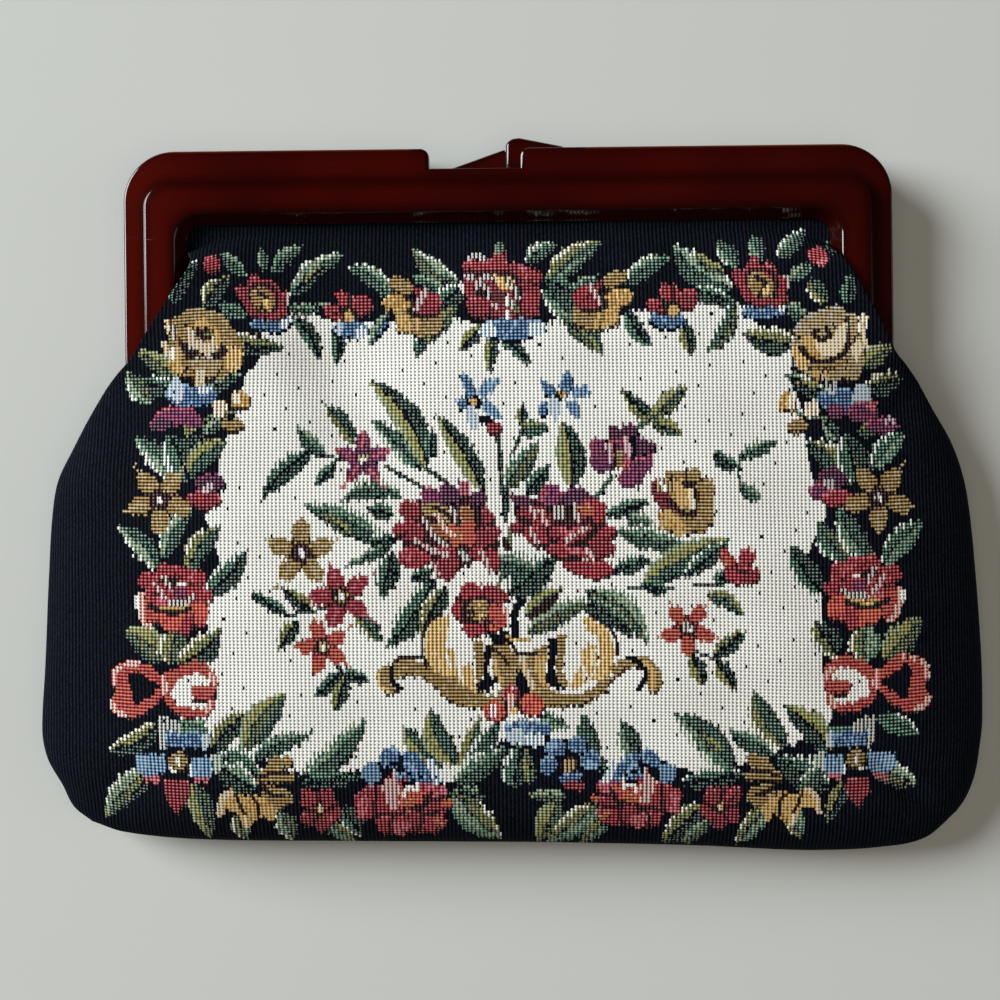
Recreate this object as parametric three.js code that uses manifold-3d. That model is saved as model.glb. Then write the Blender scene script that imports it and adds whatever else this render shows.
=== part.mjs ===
// A framed tapestry clutch lying on its back: two moulded frame halves hinged at their leg ends,
// and two cloth panels that make a hollow pouch. Millimetres, +Z up, +Y towards the clasp, table at Z = 0.
import * as THREE from "three";
import { mergeVertices } from "three/addons/utils/BufferGeometryUtils.js";
import Module from "manifold-3d";

const wasm = await Module();
wasm.setup();

// Frame: a 203 mm (8 inch) purse frame
const FRAME_WIDTH = 203;
const RIM_TOP_Y = 91.5;
const LEG_END_Y = 32.5;
const FRAME_CORNER = 13.5;
const WINDOW_CORNER = 4.5;
const TOP_RIM = 6;
const LEG_RIM = 3;
const COVE = 3.4;
const PANEL = 7.4;
const BEVEL = 2.8;
const RIM_DEPTH = 5.5;
const PANEL_DEPTH = 9;
const LIP_DEPTH = 6.2;
const EDGE_ROUND = 0.7;
const COVE_TURN = THREE.MathUtils.degToRad(76);
const COVE_STEPS = 4;
const CORNER_STEPS = 8;
const SEAM_GAP = 0.4;
const SEAM_Z = PANEL_DEPTH;
const WELD = 1e-4;

// Groove that grips the cloth
const GROOVE_LOW = 2.2;
const GROOVE_HIGH = 4.6;
const GROOVE_DEEP = 4;
const GROOVE_END_Y = 46;
const GROOVE_SEAT = 1;

// Hinge at each leg end
const HINGE_Y = 36.9;
const BARREL_RADIUS = 3.6;
const BARREL_LENGTH = 6.8;
const BARREL_CLEARANCE = 0.4;
const BARREL_SIDES = 20;
const PIN_RADIUS = 0.95;
const PIN_CLEARANCE = 0.3;
const PIN_SIDES = 12;
const BORE_OVERSHOOT = 1;

// Cloth
const WALL = 1.4;
const CLOTH_GAP = 0.5;
const CORNER_Y = -86;
const SEAM_TOP_Y = 28.5;
const MOUTH_SIDE_Y = 69.5;
const MOUTH_SQUARENESS = 10;
const MOUTH_BLEND = 6;
const SIDE_FULLNESS = 3.6;
const BOTTOM_FULLNESS = 15;
const FRONT_COLUMNS = 38;
const FRONT_ROWS = 28;
const FRONT_GATHER = 0.62;

// Back panel: the share of it that lies flat, and its way up inside the legs
const REST_WIDE = 0.76;
const REST_LOW = 0.13;
const REST_ROUND = 2.4;
const SEAM_FOLLOW = 0.92;
const BACK_LEG_Y = 31.5;
const BACK_LEG_Z = 2.4;
const BACK_COLUMNS = 26;
const BACK_ROWS = 14;
const BACK_MOUTH_ROWS = 6;
const BACK_GATHER = 0.55;

const OXBLOOD = 0x3c0605;
const BRASS = 0x8a7a55;
const TAPESTRY = 0x1b1d28;

const frameHalf = FRAME_WIDTH / 2;
const legWidth = LEG_RIM + COVE + PANEL + BEVEL;
const windowHalf = frameHalf - legWidth;
const windowTop = RIM_TOP_Y - TOP_RIM - COVE - PANEL - BEVEL;
const grooveMiddle = (GROOVE_LOW + GROOVE_HIGH) / 2;
const frontSeamZ = SEAM_Z + SEAM_GAP / 2;
const frontMouthZ = SEAM_Z + grooveMiddle + WALL / 2;
const backMouthZ = SEAM_Z - grooveMiddle - WALL / 2;
const backHalf = windowHalf - CLOTH_GAP;
const mouthTop = windowTop + GROOVE_DEEP - GROOVE_SEAT;

// Rim outline across the clasp, from right to left: the front notch, and the rear ramp seen from behind
const frontNotch = [
  { x: 6.2, below: 0 },
  { x: 4.4, below: 0.7 },
  { x: 3.6, below: 2.4 },
  { x: 3.4, below: 6 },
  { x: -20.7, below: 6 },
  { x: -20.9, below: 2.4 },
  { x: -21.7, below: 0.7 },
  { x: -23.5, below: 0 },
];
const rearRamp = [
  { x: 26, below: 0 },
  { x: 25, below: 0.6 },
  { x: 24.6, below: 1.6 },
  { x: 24.4, below: 4 },
  { x: 14.7, below: 4 },
  { x: 2.9, below: 0 },
];

// Snap lug of the front half: its outline above the rim, left to right
const lugOutline = [
  { x: -0.4, above: -5.6 },
  { x: -0.4, above: 1.3 },
  { x: 0.2, above: 2.4 },
  { x: 1.5, above: 3 },
  { x: 3.2, above: 3.2 },
  { x: 14.5, above: 0.9 },
  { x: 17, above: -0.4 },
  { x: 17, above: -5.6 },
];
const LUG_FRONT = 2.8;
const LUG_HOOK = 2.8;
const HOOK_RISE = 0.45;

// Side edges of the cloth from bottom to mouth, seen from the front: half widths, edge height, roundness
const frontSides = [
  { y: CORNER_Y, left: 112.8, right: 117.8, edge: frontSeamZ, round: 0.5 },
  { y: -82, left: 117.6, right: 120.5, edge: frontSeamZ, round: 0.5 },
  { y: -76, left: 120.6, right: 122.8, edge: frontSeamZ, round: 0.5 },
  { y: -69, left: 124.4, right: 124.1, edge: frontSeamZ, round: 0.5 },
  { y: -61, left: 125.8, right: 125, edge: frontSeamZ, round: 0.5 },
  { y: -45, left: 124.8, right: 124.9, edge: frontSeamZ, round: 0.5 },
  { y: -20, left: 123.5, right: 123.4, edge: frontSeamZ, round: 0.5 },
  { y: -4, left: 122.4, right: 121.9, edge: frontSeamZ, round: 0.5 },
  { y: 5, left: 120.7, right: 120.1, edge: frontSeamZ + 0.2, round: 0.5 },
  { y: 13, left: 116.6, right: 117, edge: frontSeamZ + 1, round: 0.5 },
  { y: 21, left: 111.9, right: 112.1, edge: frontSeamZ + 2.8, round: 0.5 },
  { y: SEAM_TOP_Y, left: 106.8, right: 107.5, edge: frontSeamZ + 5.2, round: 0.55 },
  { y: 32.5, left: 103, right: 104, edge: 17.4, round: 0.65 },
  { y: 36, left: 99.4, right: 100.8, edge: 19.2, round: 0.8 },
  { y: 45, left: 93.6, right: 96.4, edge: 20, round: 1 },
  { y: 56, left: 86.3, right: 90.4, edge: 20, round: 1 },
  { y: 60.5, left: 83.2, right: 87.4, edge: 19.9, round: 1 },
  { y: 62.5, left: 83, right: 85.6, edge: 18.6, round: 1 },
  { y: 64, left: 83.8, right: 84.2, edge: 16.6, round: 1 },
  { y: 65.4, left: 84.3, right: 84.3, edge: frontMouthZ, round: 1 },
  { y: 67, left: 86.8, right: 86.8, edge: frontMouthZ, round: 1 },
  { y: MOUTH_SIDE_Y, left: 87.6, right: 87.6, edge: frontMouthZ, round: 1 },
];

// Bottom edge of the cloth between its two corners
const bottomEdge = [
  { x: -112.8, y: CORNER_Y },
  { x: -104, y: -88.9 },
  { x: -84, y: -91 },
  { x: -36, y: -92 },
  { x: 12, y: -92.9 },
  { x: 50, y: -94.2 },
  { x: 80, y: -95.8 },
  { x: 97, y: -95.2 },
  { x: 109, y: -93 },
  { x: 117.8, y: CORNER_Y },
];

// Height of the front panel along its middle
const crown = [
  { y: -96, z: 22.5 },
  { y: -60, z: 24.4 },
  { y: -25, z: 25.4 },
  { y: 10, z: 24.6 },
  { y: 34, z: 22.8 },
  { y: 50, z: 20.4 },
  { y: 60, z: 17.8 },
  { y: 67, z: 14.6 },
  { y: 70.5, z: frontMouthZ },
  { y: 76, z: frontMouthZ },
];

// Dents and creases pressed into the front panel: middle, direction in degrees, half sizes, depth
const folds = [
  { x: -72, y: 54.7, turn: -37, length: 13, width: 2.6, depth: 1.7 },
  { x: 77, y: 58, turn: 51, length: 11, width: 3.2, depth: 0.9 },
  { x: -63, y: 37, turn: -60, length: 13, width: 7, depth: 1.1 },
  { x: 101, y: -76.6, turn: -38, length: 13, width: 3, depth: 2.4 },
  { x: 84, y: -80, turn: -12, length: 16, width: 5, depth: 1 },
  { x: -102, y: -79, turn: 38, length: 13, width: 5, depth: 1.1 },
  { x: -101, y: 20, turn: -48, length: 17, width: 6, depth: 1.2 },
  { x: 102, y: 21, turn: 48, length: 17, width: 6, depth: 1.2 },
];

// Smooth curve through a table of rows, read by one column against another
function along(rows, from, to) {
  const at = rows.map((row) => row[from]);
  const values = rows.map((row) => row[to]);
  const slopes = values.map((value, i) => {
    const low = Math.max(i - 1, 0);
    const high = Math.min(i + 1, rows.length - 1);
    const before = i > 0 ? (value - values[i - 1]) / (at[i] - at[i - 1]) : 0;
    const after = i < rows.length - 1 ? (values[i + 1] - value) / (at[i + 1] - at[i]) : 0;
    const turns = before * after <= 0 && i > 0 && i < rows.length - 1;
    return turns ? 0 : (values[high] - values[low]) / (at[high] - at[low]);
  });
  return (wanted) => {
    const place = THREE.MathUtils.clamp(wanted, at[0], at[at.length - 1]);
    const i = Math.min(Math.max(at.findIndex((stop) => stop >= place), 1), at.length - 1) - 1;
    const step = at[i + 1] - at[i];
    const t = (place - at[i]) / step;
    const bow = slopes[i] * step * t * (1 - t) ** 2 - slopes[i + 1] * step * t * t * (1 - t);
    return THREE.MathUtils.lerp(values[i], values[i + 1], t * t * (3 - 2 * t)) + bow;
  };
}

// A closed mesh from triangles of corner points, with collapsed triangles left out
function closedGeometry(triangles) {
  const loose = new THREE.BufferGeometry().setFromPoints(triangles.flat());
  const merged = mergeVertices(loose, WELD);
  const index = merged.index.array;
  const kept = [];
  for (let i = 0; i < index.length; i += 3) {
    const [a, b, c] = index.slice(i, i + 3);
    if (a !== b && b !== c && c !== a) kept.push(a, b, c);
  }
  merged.setIndex(kept);
  return merged;
}

function quad(a, b, c, d) {
  return [[a, b, c], [a, c, d]];
}

function toSolid(geometry) {
  const bare = geometry.clone();
  bare.deleteAttribute("normal");
  bare.deleteAttribute("uv");
  const merged = mergeVertices(bare, WELD);
  const vertProperties = new Float32Array(merged.attributes.position.array);
  const triVerts = new Uint32Array(merged.index.array);
  return new wasm.Manifold(new wasm.Mesh({ numProp: 3, vertProperties, triVerts }));
}

function toGeometry(solid) {
  const mesh = solid.getMesh();
  const geometry = new THREE.BufferGeometry();
  geometry.setAttribute("position", new THREE.BufferAttribute(mesh.vertProperties, 3));
  geometry.setIndex(new THREE.BufferAttribute(mesh.triVerts, 1));
  geometry.computeVertexNormals();
  return geometry;
}

// Points of a quarter turn about a centre
function quarter(x, y, radius, start, steps) {
  const points = [];
  for (let i = 0; i <= steps; i++) {
    const angle = start + (i / steps) * (Math.PI / 2);
    points.push({ x: x + radius * Math.cos(angle), y: y + radius * Math.sin(angle) });
  }
  return points;
}

// Closed outline of the inverted U: the outer edge drawn in by side and top, the window widened by bevel
function frameLoop(side, top, bevel, rimCut) {
  const half = frameHalf - side;
  const high = RIM_TOP_Y - top;
  const radius = FRAME_CORNER - (side + top) / 2;
  const end = LEG_END_Y + Math.min(side, EDGE_ROUND);
  const inner = windowHalf + bevel;
  const innerTop = windowTop + bevel;
  const innerRadius = WINDOW_CORNER + bevel;
  const rim = rimCut.map((row) => ({ x: row.x, y: Math.min(RIM_TOP_Y - row.below, high) }));
  const turn = Math.PI / 2;
  return [
    { x: half, y: end },
    ...quarter(half - radius, high - radius, radius, 0, CORNER_STEPS),
    ...rim,
    ...quarter(radius - half, high - radius, radius, turn, CORNER_STEPS),
    { x: -half, y: end },
    { x: -inner, y: end },
    ...quarter(innerRadius - inner, innerTop - innerRadius, innerRadius, turn, CORNER_STEPS).reverse(),
    ...quarter(inner - innerRadius, innerTop - innerRadius, innerRadius, 0, CORNER_STEPS).reverse(),
    { x: inner, y: end },
  ];
}

// Section of the moulding from the seam to the raised panel: depth, edge rounding, rim crossed or not, cove
function mouldingLevels() {
  const low = SEAM_GAP / 2;
  const levels = [
    { z: low, round: EDGE_ROUND, rim: 0, cove: 0 },
    { z: low + EDGE_ROUND, round: 0, rim: 0, cove: 0 },
    { z: RIM_DEPTH - EDGE_ROUND, round: 0, rim: 0, cove: 0 },
    { z: RIM_DEPTH, round: EDGE_ROUND, rim: 0, cove: 0 },
    { z: RIM_DEPTH, round: 0, rim: 1, cove: 0 },
  ];
  for (let i = 1; i <= COVE_STEPS; i++) {
    const angle = (i / COVE_STEPS) * COVE_TURN;
    const rise = (1 - Math.cos(angle)) / (1 - Math.cos(COVE_TURN));
    const z = RIM_DEPTH + (PANEL_DEPTH - RIM_DEPTH) * rise;
    levels.push({ z, round: 0, rim: 1, cove: (COVE * Math.sin(angle)) / Math.sin(COVE_TURN) });
  }
  return levels;
}

function mouldingSolid(rimCut) {
  const loops = mouldingLevels().map(({ z, round, rim, cove }) => {
    const slope = Math.max(0, (z - LIP_DEPTH) / (PANEL_DEPTH - LIP_DEPTH));
    const loop = frameLoop(round + rim * LEG_RIM + cove, round + rim * TOP_RIM + cove, BEVEL * slope, rimCut);
    return loop.map((point) => new THREE.Vector3(point.x, point.y, z));
  });
  const count = loops[0].length;
  const triangles = [];
  for (let level = 0; level + 1 < loops.length; level++) {
    const [lower, upper] = loops.slice(level, level + 2);
    for (let i = 0; i < count; i++) {
      const next = (i + 1) % count;
      triangles.push(...quad(lower[i], lower[next], upper[next], upper[i]));
    }
  }
  const cap = (loop, flip) => {
    const flat = loop.map((point) => new THREE.Vector2(point.x, point.y));
    const faces = THREE.ShapeUtils.triangulateShape(flat, []);
    for (const [a, b, c] of faces) {
      triangles.push(flip ? [loop[a], loop[c], loop[b]] : [loop[a], loop[b], loop[c]]);
    }
  };
  cap(loops[0], true);
  cap(loops[loops.length - 1], false);
  return toSolid(closedGeometry(triangles));
}

// Groove around the window, open towards it
function grooveSolid() {
  const reach = windowHalf + GROOVE_DEEP;
  const top = windowTop + GROOVE_DEEP;
  const radius = WINDOW_CORNER + GROOVE_DEEP;
  const shape = new THREE.Shape();
  shape.moveTo(reach, GROOVE_END_Y);
  shape.lineTo(reach, top - radius);
  shape.absarc(reach - radius, top - radius, radius, 0, Math.PI / 2, false);
  shape.lineTo(radius - reach, top);
  shape.absarc(radius - reach, top - radius, radius, Math.PI / 2, Math.PI, false);
  shape.lineTo(-reach, GROOVE_END_Y);
  shape.closePath();
  const depth = GROOVE_HIGH - GROOVE_LOW;
  const slab = new THREE.ExtrudeGeometry(shape, { depth, bevelEnabled: false, curveSegments: CORNER_STEPS });
  return toSolid(slab.translate(0, 0, GROOVE_LOW));
}

function rodSolid(fromX, toX, radius, sides) {
  const rod = new THREE.CylinderGeometry(radius, radius, toX - fromX, sides);
  rod.rotateZ(Math.PI / 2);
  return toSolid(rod.translate((fromX + toX) / 2, HINGE_Y, 0));
}

// Hinge barrels: this half keeps the outer one on its left leg and the inner one on its right leg
const legMiddle = frameHalf - legWidth / 2;
const barrelFrom = BARREL_CLEARANCE / 2;
const barrelTo = barrelFrom + BARREL_LENGTH;
const innerBarrel = [legMiddle - barrelTo, legMiddle - barrelFrom];
const outerBarrel = [legMiddle + barrelFrom, legMiddle + barrelTo];

function withHinges(half) {
  const mirrored = ([from, to]) => [-to, -from];
  const own = [mirrored(outerBarrel), innerBarrel];
  const other = [mirrored(innerBarrel), outerBarrel];
  let solid = half;
  for (const [from, to] of other) {
    const radius = BARREL_RADIUS + BARREL_CLEARANCE;
    solid = solid.subtract(rodSolid(from - barrelFrom, to + barrelFrom, radius, BARREL_SIDES));
  }
  for (const [from, to] of own) solid = solid.add(rodSolid(from, to, BARREL_RADIUS, BARREL_SIDES));
  const bore = [windowHalf - BORE_OVERSHOOT, frameHalf + BORE_OVERSHOOT];
  for (const [from, to] of [bore, mirrored(bore)]) {
    solid = solid.subtract(rodSolid(from, to, PIN_RADIUS + PIN_CLEARANCE, PIN_SIDES));
  }
  return solid;
}

// Snap lug: a block behind the rim whose head hooks back over the rear rim
function lugSolid(fromZ, toZ, lowest) {
  const outline = lugOutline.map(({ x, above }) => new THREE.Vector2(x, RIM_TOP_Y + Math.max(above, lowest)));
  const shape = new THREE.Shape(outline.reverse());
  const block = new THREE.ExtrudeGeometry(shape, { depth: toZ - fromZ, bevelEnabled: false });
  return toSolid(block.translate(0, 0, fromZ));
}

function frontFrame() {
  const lowest = Math.min(...lugOutline.map((row) => row.above));
  const lug = lugSolid(SEAM_GAP / 2, LUG_FRONT, lowest).add(lugSolid(-LUG_HOOK, LUG_FRONT, HOOK_RISE));
  return withHinges(mouldingSolid(frontNotch).add(lug).subtract(grooveSolid()));
}

function backFrame() {
  return withHinges(mouldingSolid(rearRamp).subtract(grooveSolid()));
}

// Depth of the folds at a point of the front panel
function foldDepth(x, y) {
  return folds.reduce((depth, fold) => {
    const angle = THREE.MathUtils.degToRad(fold.turn);
    const lengthwise = (x - fold.x) * Math.cos(angle) + (y - fold.y) * Math.sin(angle);
    const across = (y - fold.y) * Math.cos(angle) - (x - fold.x) * Math.sin(angle);
    const away = (lengthwise / fold.length) ** 2 + (across / fold.width) ** 2;
    return depth + fold.depth * Math.exp(-away);
  }, 0);
}

// Flat place of a panel point: u from the left edge (-1) to the right (1), v from bottom (0) to mouth (1)
function panelPlace(sides) {
  const left = along(sides, "y", "left");
  const right = along(sides, "y", "right");
  const bottom = along(bottomEdge, "x", "y");
  const [cornerLeft, cornerRight] = [left(CORNER_Y), right(CORNER_Y)];
  return (u, v) => {
    const share = (u + 1) / 2;
    const sideY = THREE.MathUtils.lerp(CORNER_Y, MOUTH_SIDE_Y, v);
    const bottomX = THREE.MathUtils.lerp(-cornerLeft, cornerRight, share);
    const x = THREE.MathUtils.lerp(-left(sideY), right(sideY), share);
    const mouthRise = (mouthTop - MOUTH_SIDE_Y) * (1 - Math.abs(u) ** MOUTH_SQUARENESS);
    const y = sideY + (1 - v) * (bottom(bottomX) - CORNER_Y) + v ** MOUTH_BLEND * mouthRise;
    return { x, y, sideY };
  };
}

function frontSurface() {
  const place = panelPlace(frontSides);
  const edge = along(frontSides, "y", "edge");
  const round = along(frontSides, "y", "round");
  const middle = along(crown, "y", "z");
  return (u, v) => {
    const { x, y, sideY } = place(u, v);
    const sideways = (1 - Math.abs(u) ** SIDE_FULLNESS) ** round(sideY);
    const upwards = Math.sqrt(1 - (1 - v) ** BOTTOM_FULLNESS);
    const full = sideways * upwards;
    const z = edge(sideY) + (middle(y) - edge(sideY)) * full;
    return new THREE.Vector3(x, y, z - foldDepth(x, y) * Math.sqrt(full));
  };
}

// Height of the back panel's edge under a front edge, a little further below where the seam climbs
function seamBelow(edge) {
  return frontSeamZ - SEAM_GAP + (edge - frontSeamZ) * SEAM_FOLLOW;
}

// The back panel's sides follow the front's up to the top of the seam, then the inside of the legs
const backSides = [
  ...frontSides.filter((row) => row.y <= SEAM_TOP_Y).map((row) => ({ ...row, edge: seamBelow(row.edge) })),
  { y: BACK_LEG_Y, left: backHalf, right: backHalf, edge: BACK_LEG_Z },
  { y: 40, left: backHalf, right: backHalf, edge: BACK_LEG_Z },
  { y: 56, left: backHalf, right: backHalf, edge: backMouthZ },
  { y: 67, left: backHalf, right: backHalf, edge: backMouthZ },
  { y: MOUTH_SIDE_Y, left: 87.6, right: 87.6, edge: backMouthZ },
];
const backMiddle = [
  { y: -96, z: 0 },
  { y: 48, z: 0 },
  { y: 56, z: 0.5 },
  { y: 70.5, z: backMouthZ },
  { y: 76, z: backMouthZ },
];

function backSurface() {
  const place = panelPlace(backSides);
  const edge = along(backSides, "y", "edge");
  const middle = along(backMiddle, "y", "z");
  return (u, v) => {
    const { x, y, sideY } = place(u, v);
    const pastSide = Math.max(0, (Math.abs(u) - REST_WIDE) / (1 - REST_WIDE));
    const pastBottom = Math.max(0, 1 - v / REST_LOW);
    const sideways = Math.sqrt(1 - pastSide ** REST_ROUND);
    const upwards = Math.sqrt(1 - pastBottom ** REST_ROUND);
    const low = middle(y);
    return new THREE.Vector3(x, y, low + (edge(sideY) - low) * (1 - sideways * upwards));
  };
}

// A cloth wall from an outer surface: the inner skin lies one wall inside, and a rim closes the edges
function clothWall(surface, columns, rows, outward) {
  const outer = rows.map((v) => columns.map((u) => surface(u, v)));
  const lastRow = rows.length - 1;
  const lastColumn = columns.length - 1;
  const inner = outer.map((row, j) =>
    row.map((point, i) => {
      const across = outer[j][Math.min(i + 1, lastColumn)].clone().sub(outer[j][Math.max(i - 1, 0)]);
      const upward = outer[Math.min(j + 1, lastRow)][i].clone().sub(outer[Math.max(j - 1, 0)][i]);
      const normal = across.cross(upward).multiplyScalar(outward);
      const sewn = j === 0 || ((i === 0 || i === lastColumn) && point.y <= SEAM_TOP_Y + CLOTH_GAP);
      if (sewn) normal.z = 0;
      return point.clone().addScaledVector(normal.normalize(), -WALL);
    }),
  );
  const triangles = [];
  const face = (a, b, c, d) => triangles.push(...(outward > 0 ? quad(a, b, c, d) : quad(d, c, b, a)));
  for (let j = 0; j < lastRow; j++) {
    for (let i = 0; i < lastColumn; i++) {
      face(outer[j][i], outer[j][i + 1], outer[j + 1][i + 1], outer[j + 1][i]);
      face(inner[j][i], inner[j + 1][i], inner[j + 1][i + 1], inner[j][i + 1]);
    }
    face(outer[j][0], outer[j + 1][0], inner[j + 1][0], inner[j][0]);
    face(outer[j + 1][lastColumn], outer[j][lastColumn], inner[j][lastColumn], inner[j + 1][lastColumn]);
  }
  for (let i = 0; i < lastColumn; i++) {
    face(outer[0][i + 1], outer[0][i], inner[0][i], inner[0][i + 1]);
    face(outer[lastRow][i], outer[lastRow][i + 1], inner[lastRow][i + 1], inner[lastRow][i]);
  }
  return closedGeometry(triangles);
}

// Evenly numbered stations between two values, drawn towards the ends that curve most
function stations(from, to, count, gather) {
  return Array.from({ length: count + 1 }, (_, i) => {
    const t = i / count;
    return THREE.MathUtils.lerp(from, to, t - (gather * Math.sin(2 * Math.PI * t)) / (2 * Math.PI));
  });
}

function mouthShare(y) {
  return (y - CORNER_Y) / (MOUTH_SIDE_Y - CORNER_Y);
}

function material(color, roughness, metalness) {
  return new THREE.MeshStandardMaterial({ color, roughness, metalness });
}

function addPiece(group, name, geometry, finish) {
  const mesh = new THREE.Mesh(geometry, finish);
  mesh.name = name;
  group.add(mesh);
  return mesh;
}

const clutch = new THREE.Group();

const frontHalf = new THREE.Group();
frontHalf.position.z = SEAM_Z;
clutch.add(frontHalf);
addPiece(frontHalf, "front_frame", toGeometry(frontFrame()), material(OXBLOOD, 0.18, 0));

const rearHalf = new THREE.Group();
rearHalf.position.z = SEAM_Z;
rearHalf.rotation.y = Math.PI;
clutch.add(rearHalf);
addPiece(rearHalf, "back_frame", toGeometry(backFrame()), material(OXBLOOD, 0.18, 0));

for (const [name, side] of [["hinge_pin_left", -1], ["hinge_pin_right", 1]]) {
  const pin = new THREE.CylinderGeometry(PIN_RADIUS, PIN_RADIUS, outerBarrel[1] - innerBarrel[0], PIN_SIDES);
  const mesh = addPiece(clutch, name, pin, material(BRASS, 0.35, 1));
  mesh.rotation.z = Math.PI / 2;
  mesh.position.set(side * legMiddle, HINGE_Y, SEAM_Z);
}

const frontColumns = stations(-1, 1, FRONT_COLUMNS, FRONT_GATHER);
const frontRows = stations(0, 1, FRONT_ROWS, FRONT_GATHER);
const cloth = () => material(TAPESTRY, 0.92, 0);
addPiece(clutch, "tapestry_front", clothWall(frontSurface(), frontColumns, frontRows, 1), cloth());

const backColumns = stations(-1, 1, BACK_COLUMNS, BACK_GATHER);
const backRows = [
  ...stations(0, mouthShare(SEAM_TOP_Y), BACK_ROWS, BACK_GATHER),
  ...stations(mouthShare(BACK_LEG_Y), 1, BACK_MOUTH_ROWS, 0),
];
addPiece(clutch, "tapestry_back", clothWall(backSurface(), backColumns, backRows, -1), cloth());

export default clutch;
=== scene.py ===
import math

import bpy
import numpy as np
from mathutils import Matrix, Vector


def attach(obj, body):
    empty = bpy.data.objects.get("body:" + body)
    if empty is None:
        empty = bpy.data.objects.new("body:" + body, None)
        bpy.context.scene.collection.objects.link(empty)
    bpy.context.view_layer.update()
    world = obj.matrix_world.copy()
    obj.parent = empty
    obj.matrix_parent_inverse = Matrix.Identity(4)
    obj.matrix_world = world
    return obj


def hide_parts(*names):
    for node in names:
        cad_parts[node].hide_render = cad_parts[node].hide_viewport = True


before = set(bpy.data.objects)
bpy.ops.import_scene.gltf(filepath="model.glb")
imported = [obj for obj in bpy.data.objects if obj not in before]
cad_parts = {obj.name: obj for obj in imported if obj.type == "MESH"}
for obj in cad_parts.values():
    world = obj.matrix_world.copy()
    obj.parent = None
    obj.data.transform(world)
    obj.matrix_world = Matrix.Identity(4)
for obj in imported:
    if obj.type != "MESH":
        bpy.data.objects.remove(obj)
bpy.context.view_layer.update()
mm = 0.001
weld = 0.01 * mm
print("frame loaded")


def along(rows, wanted):
    # smooth curve through a table of (place, value) rows
    at = np.array([row[0] for row in rows], float)
    values = np.array([row[1] for row in rows], float)
    steps = np.diff(values) / np.diff(at)
    slopes = np.empty(len(at))
    slopes[0], slopes[-1] = steps[0], steps[-1]
    middle = (values[2:] - values[:-2]) / (at[2:] - at[:-2])
    slopes[1:-1] = np.where(steps[:-1] * steps[1:] <= 0, 0, middle)
    place = np.clip(wanted, at[0], at[-1])
    i = np.clip(np.searchsorted(at, place) - 1, 0, len(at) - 2)
    step = at[i + 1] - at[i]
    t = (place - at[i]) / step
    bow = slopes[i] * step * t * (1 - t) ** 2 - slopes[i + 1] * step * t * t * (1 - t)
    return values[i] + (values[i + 1] - values[i]) * t * t * (3 - 2 * t) + bow


def turned(degrees):
    return math.cos(math.radians(degrees)), math.sin(math.radians(degrees))


def quarterTurns(steps):
    return [math.pi / 2 * i / steps for i in range(steps + 1)]


def deselectAll():
    if bpy.context.object and bpy.context.object.mode != "OBJECT":
        bpy.ops.object.mode_set(mode="OBJECT")
    bpy.ops.object.select_all(action="DESELECT")


def pickOnly(piece):
    deselectAll()
    piece.select_set(True)
    bpy.context.view_layer.objects.active = piece


def feed(tree, socket, value):
    # a socket takes a plain value or the output of another node
    if isinstance(value, bpy.types.NodeSocket):
        tree.links.new(value, socket)
    else:
        socket.default_value = value


def addNode(tree, kind, feeds, **settings):
    node = tree.nodes.new("ShaderNode" + kind)
    for name, value in settings.items():
        setattr(node, name, value)
    for name, value in feeds.items():
        feed(tree, node.inputs[name], value)
    return node


def calc(tree, operation, *values):
    step = addNode(tree, "Math", {}, operation=operation)
    for socket, value in zip(step.inputs, values):
        feed(tree, socket, value)
    return step.outputs["Value"]


def remap(tree, value, low, high, most=1, way="LINEAR"):
    # 0 at low, rising to most at high
    feeds = {"Value": value, "From Min": low, "From Max": high, "To Max": most}
    return addNode(tree, "MapRange", feeds, interpolation_type=way).outputs["Result"]


def speckle(tree, place, scale, detail):
    return addNode(tree, "TexNoise", {"Vector": place, "Scale": scale, "Detail": detail}).outputs["Fac"]


def blend(tree, factor, first, second):
    feeds = {"Factor": factor, "A": first, "B": second}
    return addNode(tree, "Mix", feeds, data_type="RGBA").outputs["Result"]


def tintBetween(tree, value, stops):
    tint = addNode(tree, "ValToRGB", {"Fac": value})
    for element, (position, colour) in zip(tint.color_ramp.elements, stops):
        element.position, element.color = position, colour
    return tint.outputs["Color"]


def newMaterial(name):
    material = bpy.data.materials.new(name)
    material.use_nodes = True
    return material, material.node_tree, material.node_tree.nodes["Principled BSDF"]


studio = {  # mm
    "eye": (-3.0, -1.5, 446.0),  # straight above the bag
    "lens": 58.9, "sensor": 36, "nearest": 10,
    "roll": -0.66,  # degrees
    "floorSize": 6000, "floorDrop": 0.2,
    "floor": {"Base Color": (0.56, 0.565, 0.55, 1), "Roughness": 0.75, "Specular IOR Level": 0.2},
    "lights": [  # name, place, size, power in W, colour, mirrored in glossy surfaces
        ("window", (-2500, 1100, 1500), 1900, 158, (0.93, 0.99, 1.0), True),
        ("room_right", (1800, -120, 960), 1300, 3.2, (1.0, 0.95, 0.86), True),
        ("room_fill", (150, -260, 1700), 2200, 9.2, (1.0, 0.92, 0.76), False),
    ],
    "roomColour": (0.02, 0.02, 0.02, 1),
}


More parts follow.
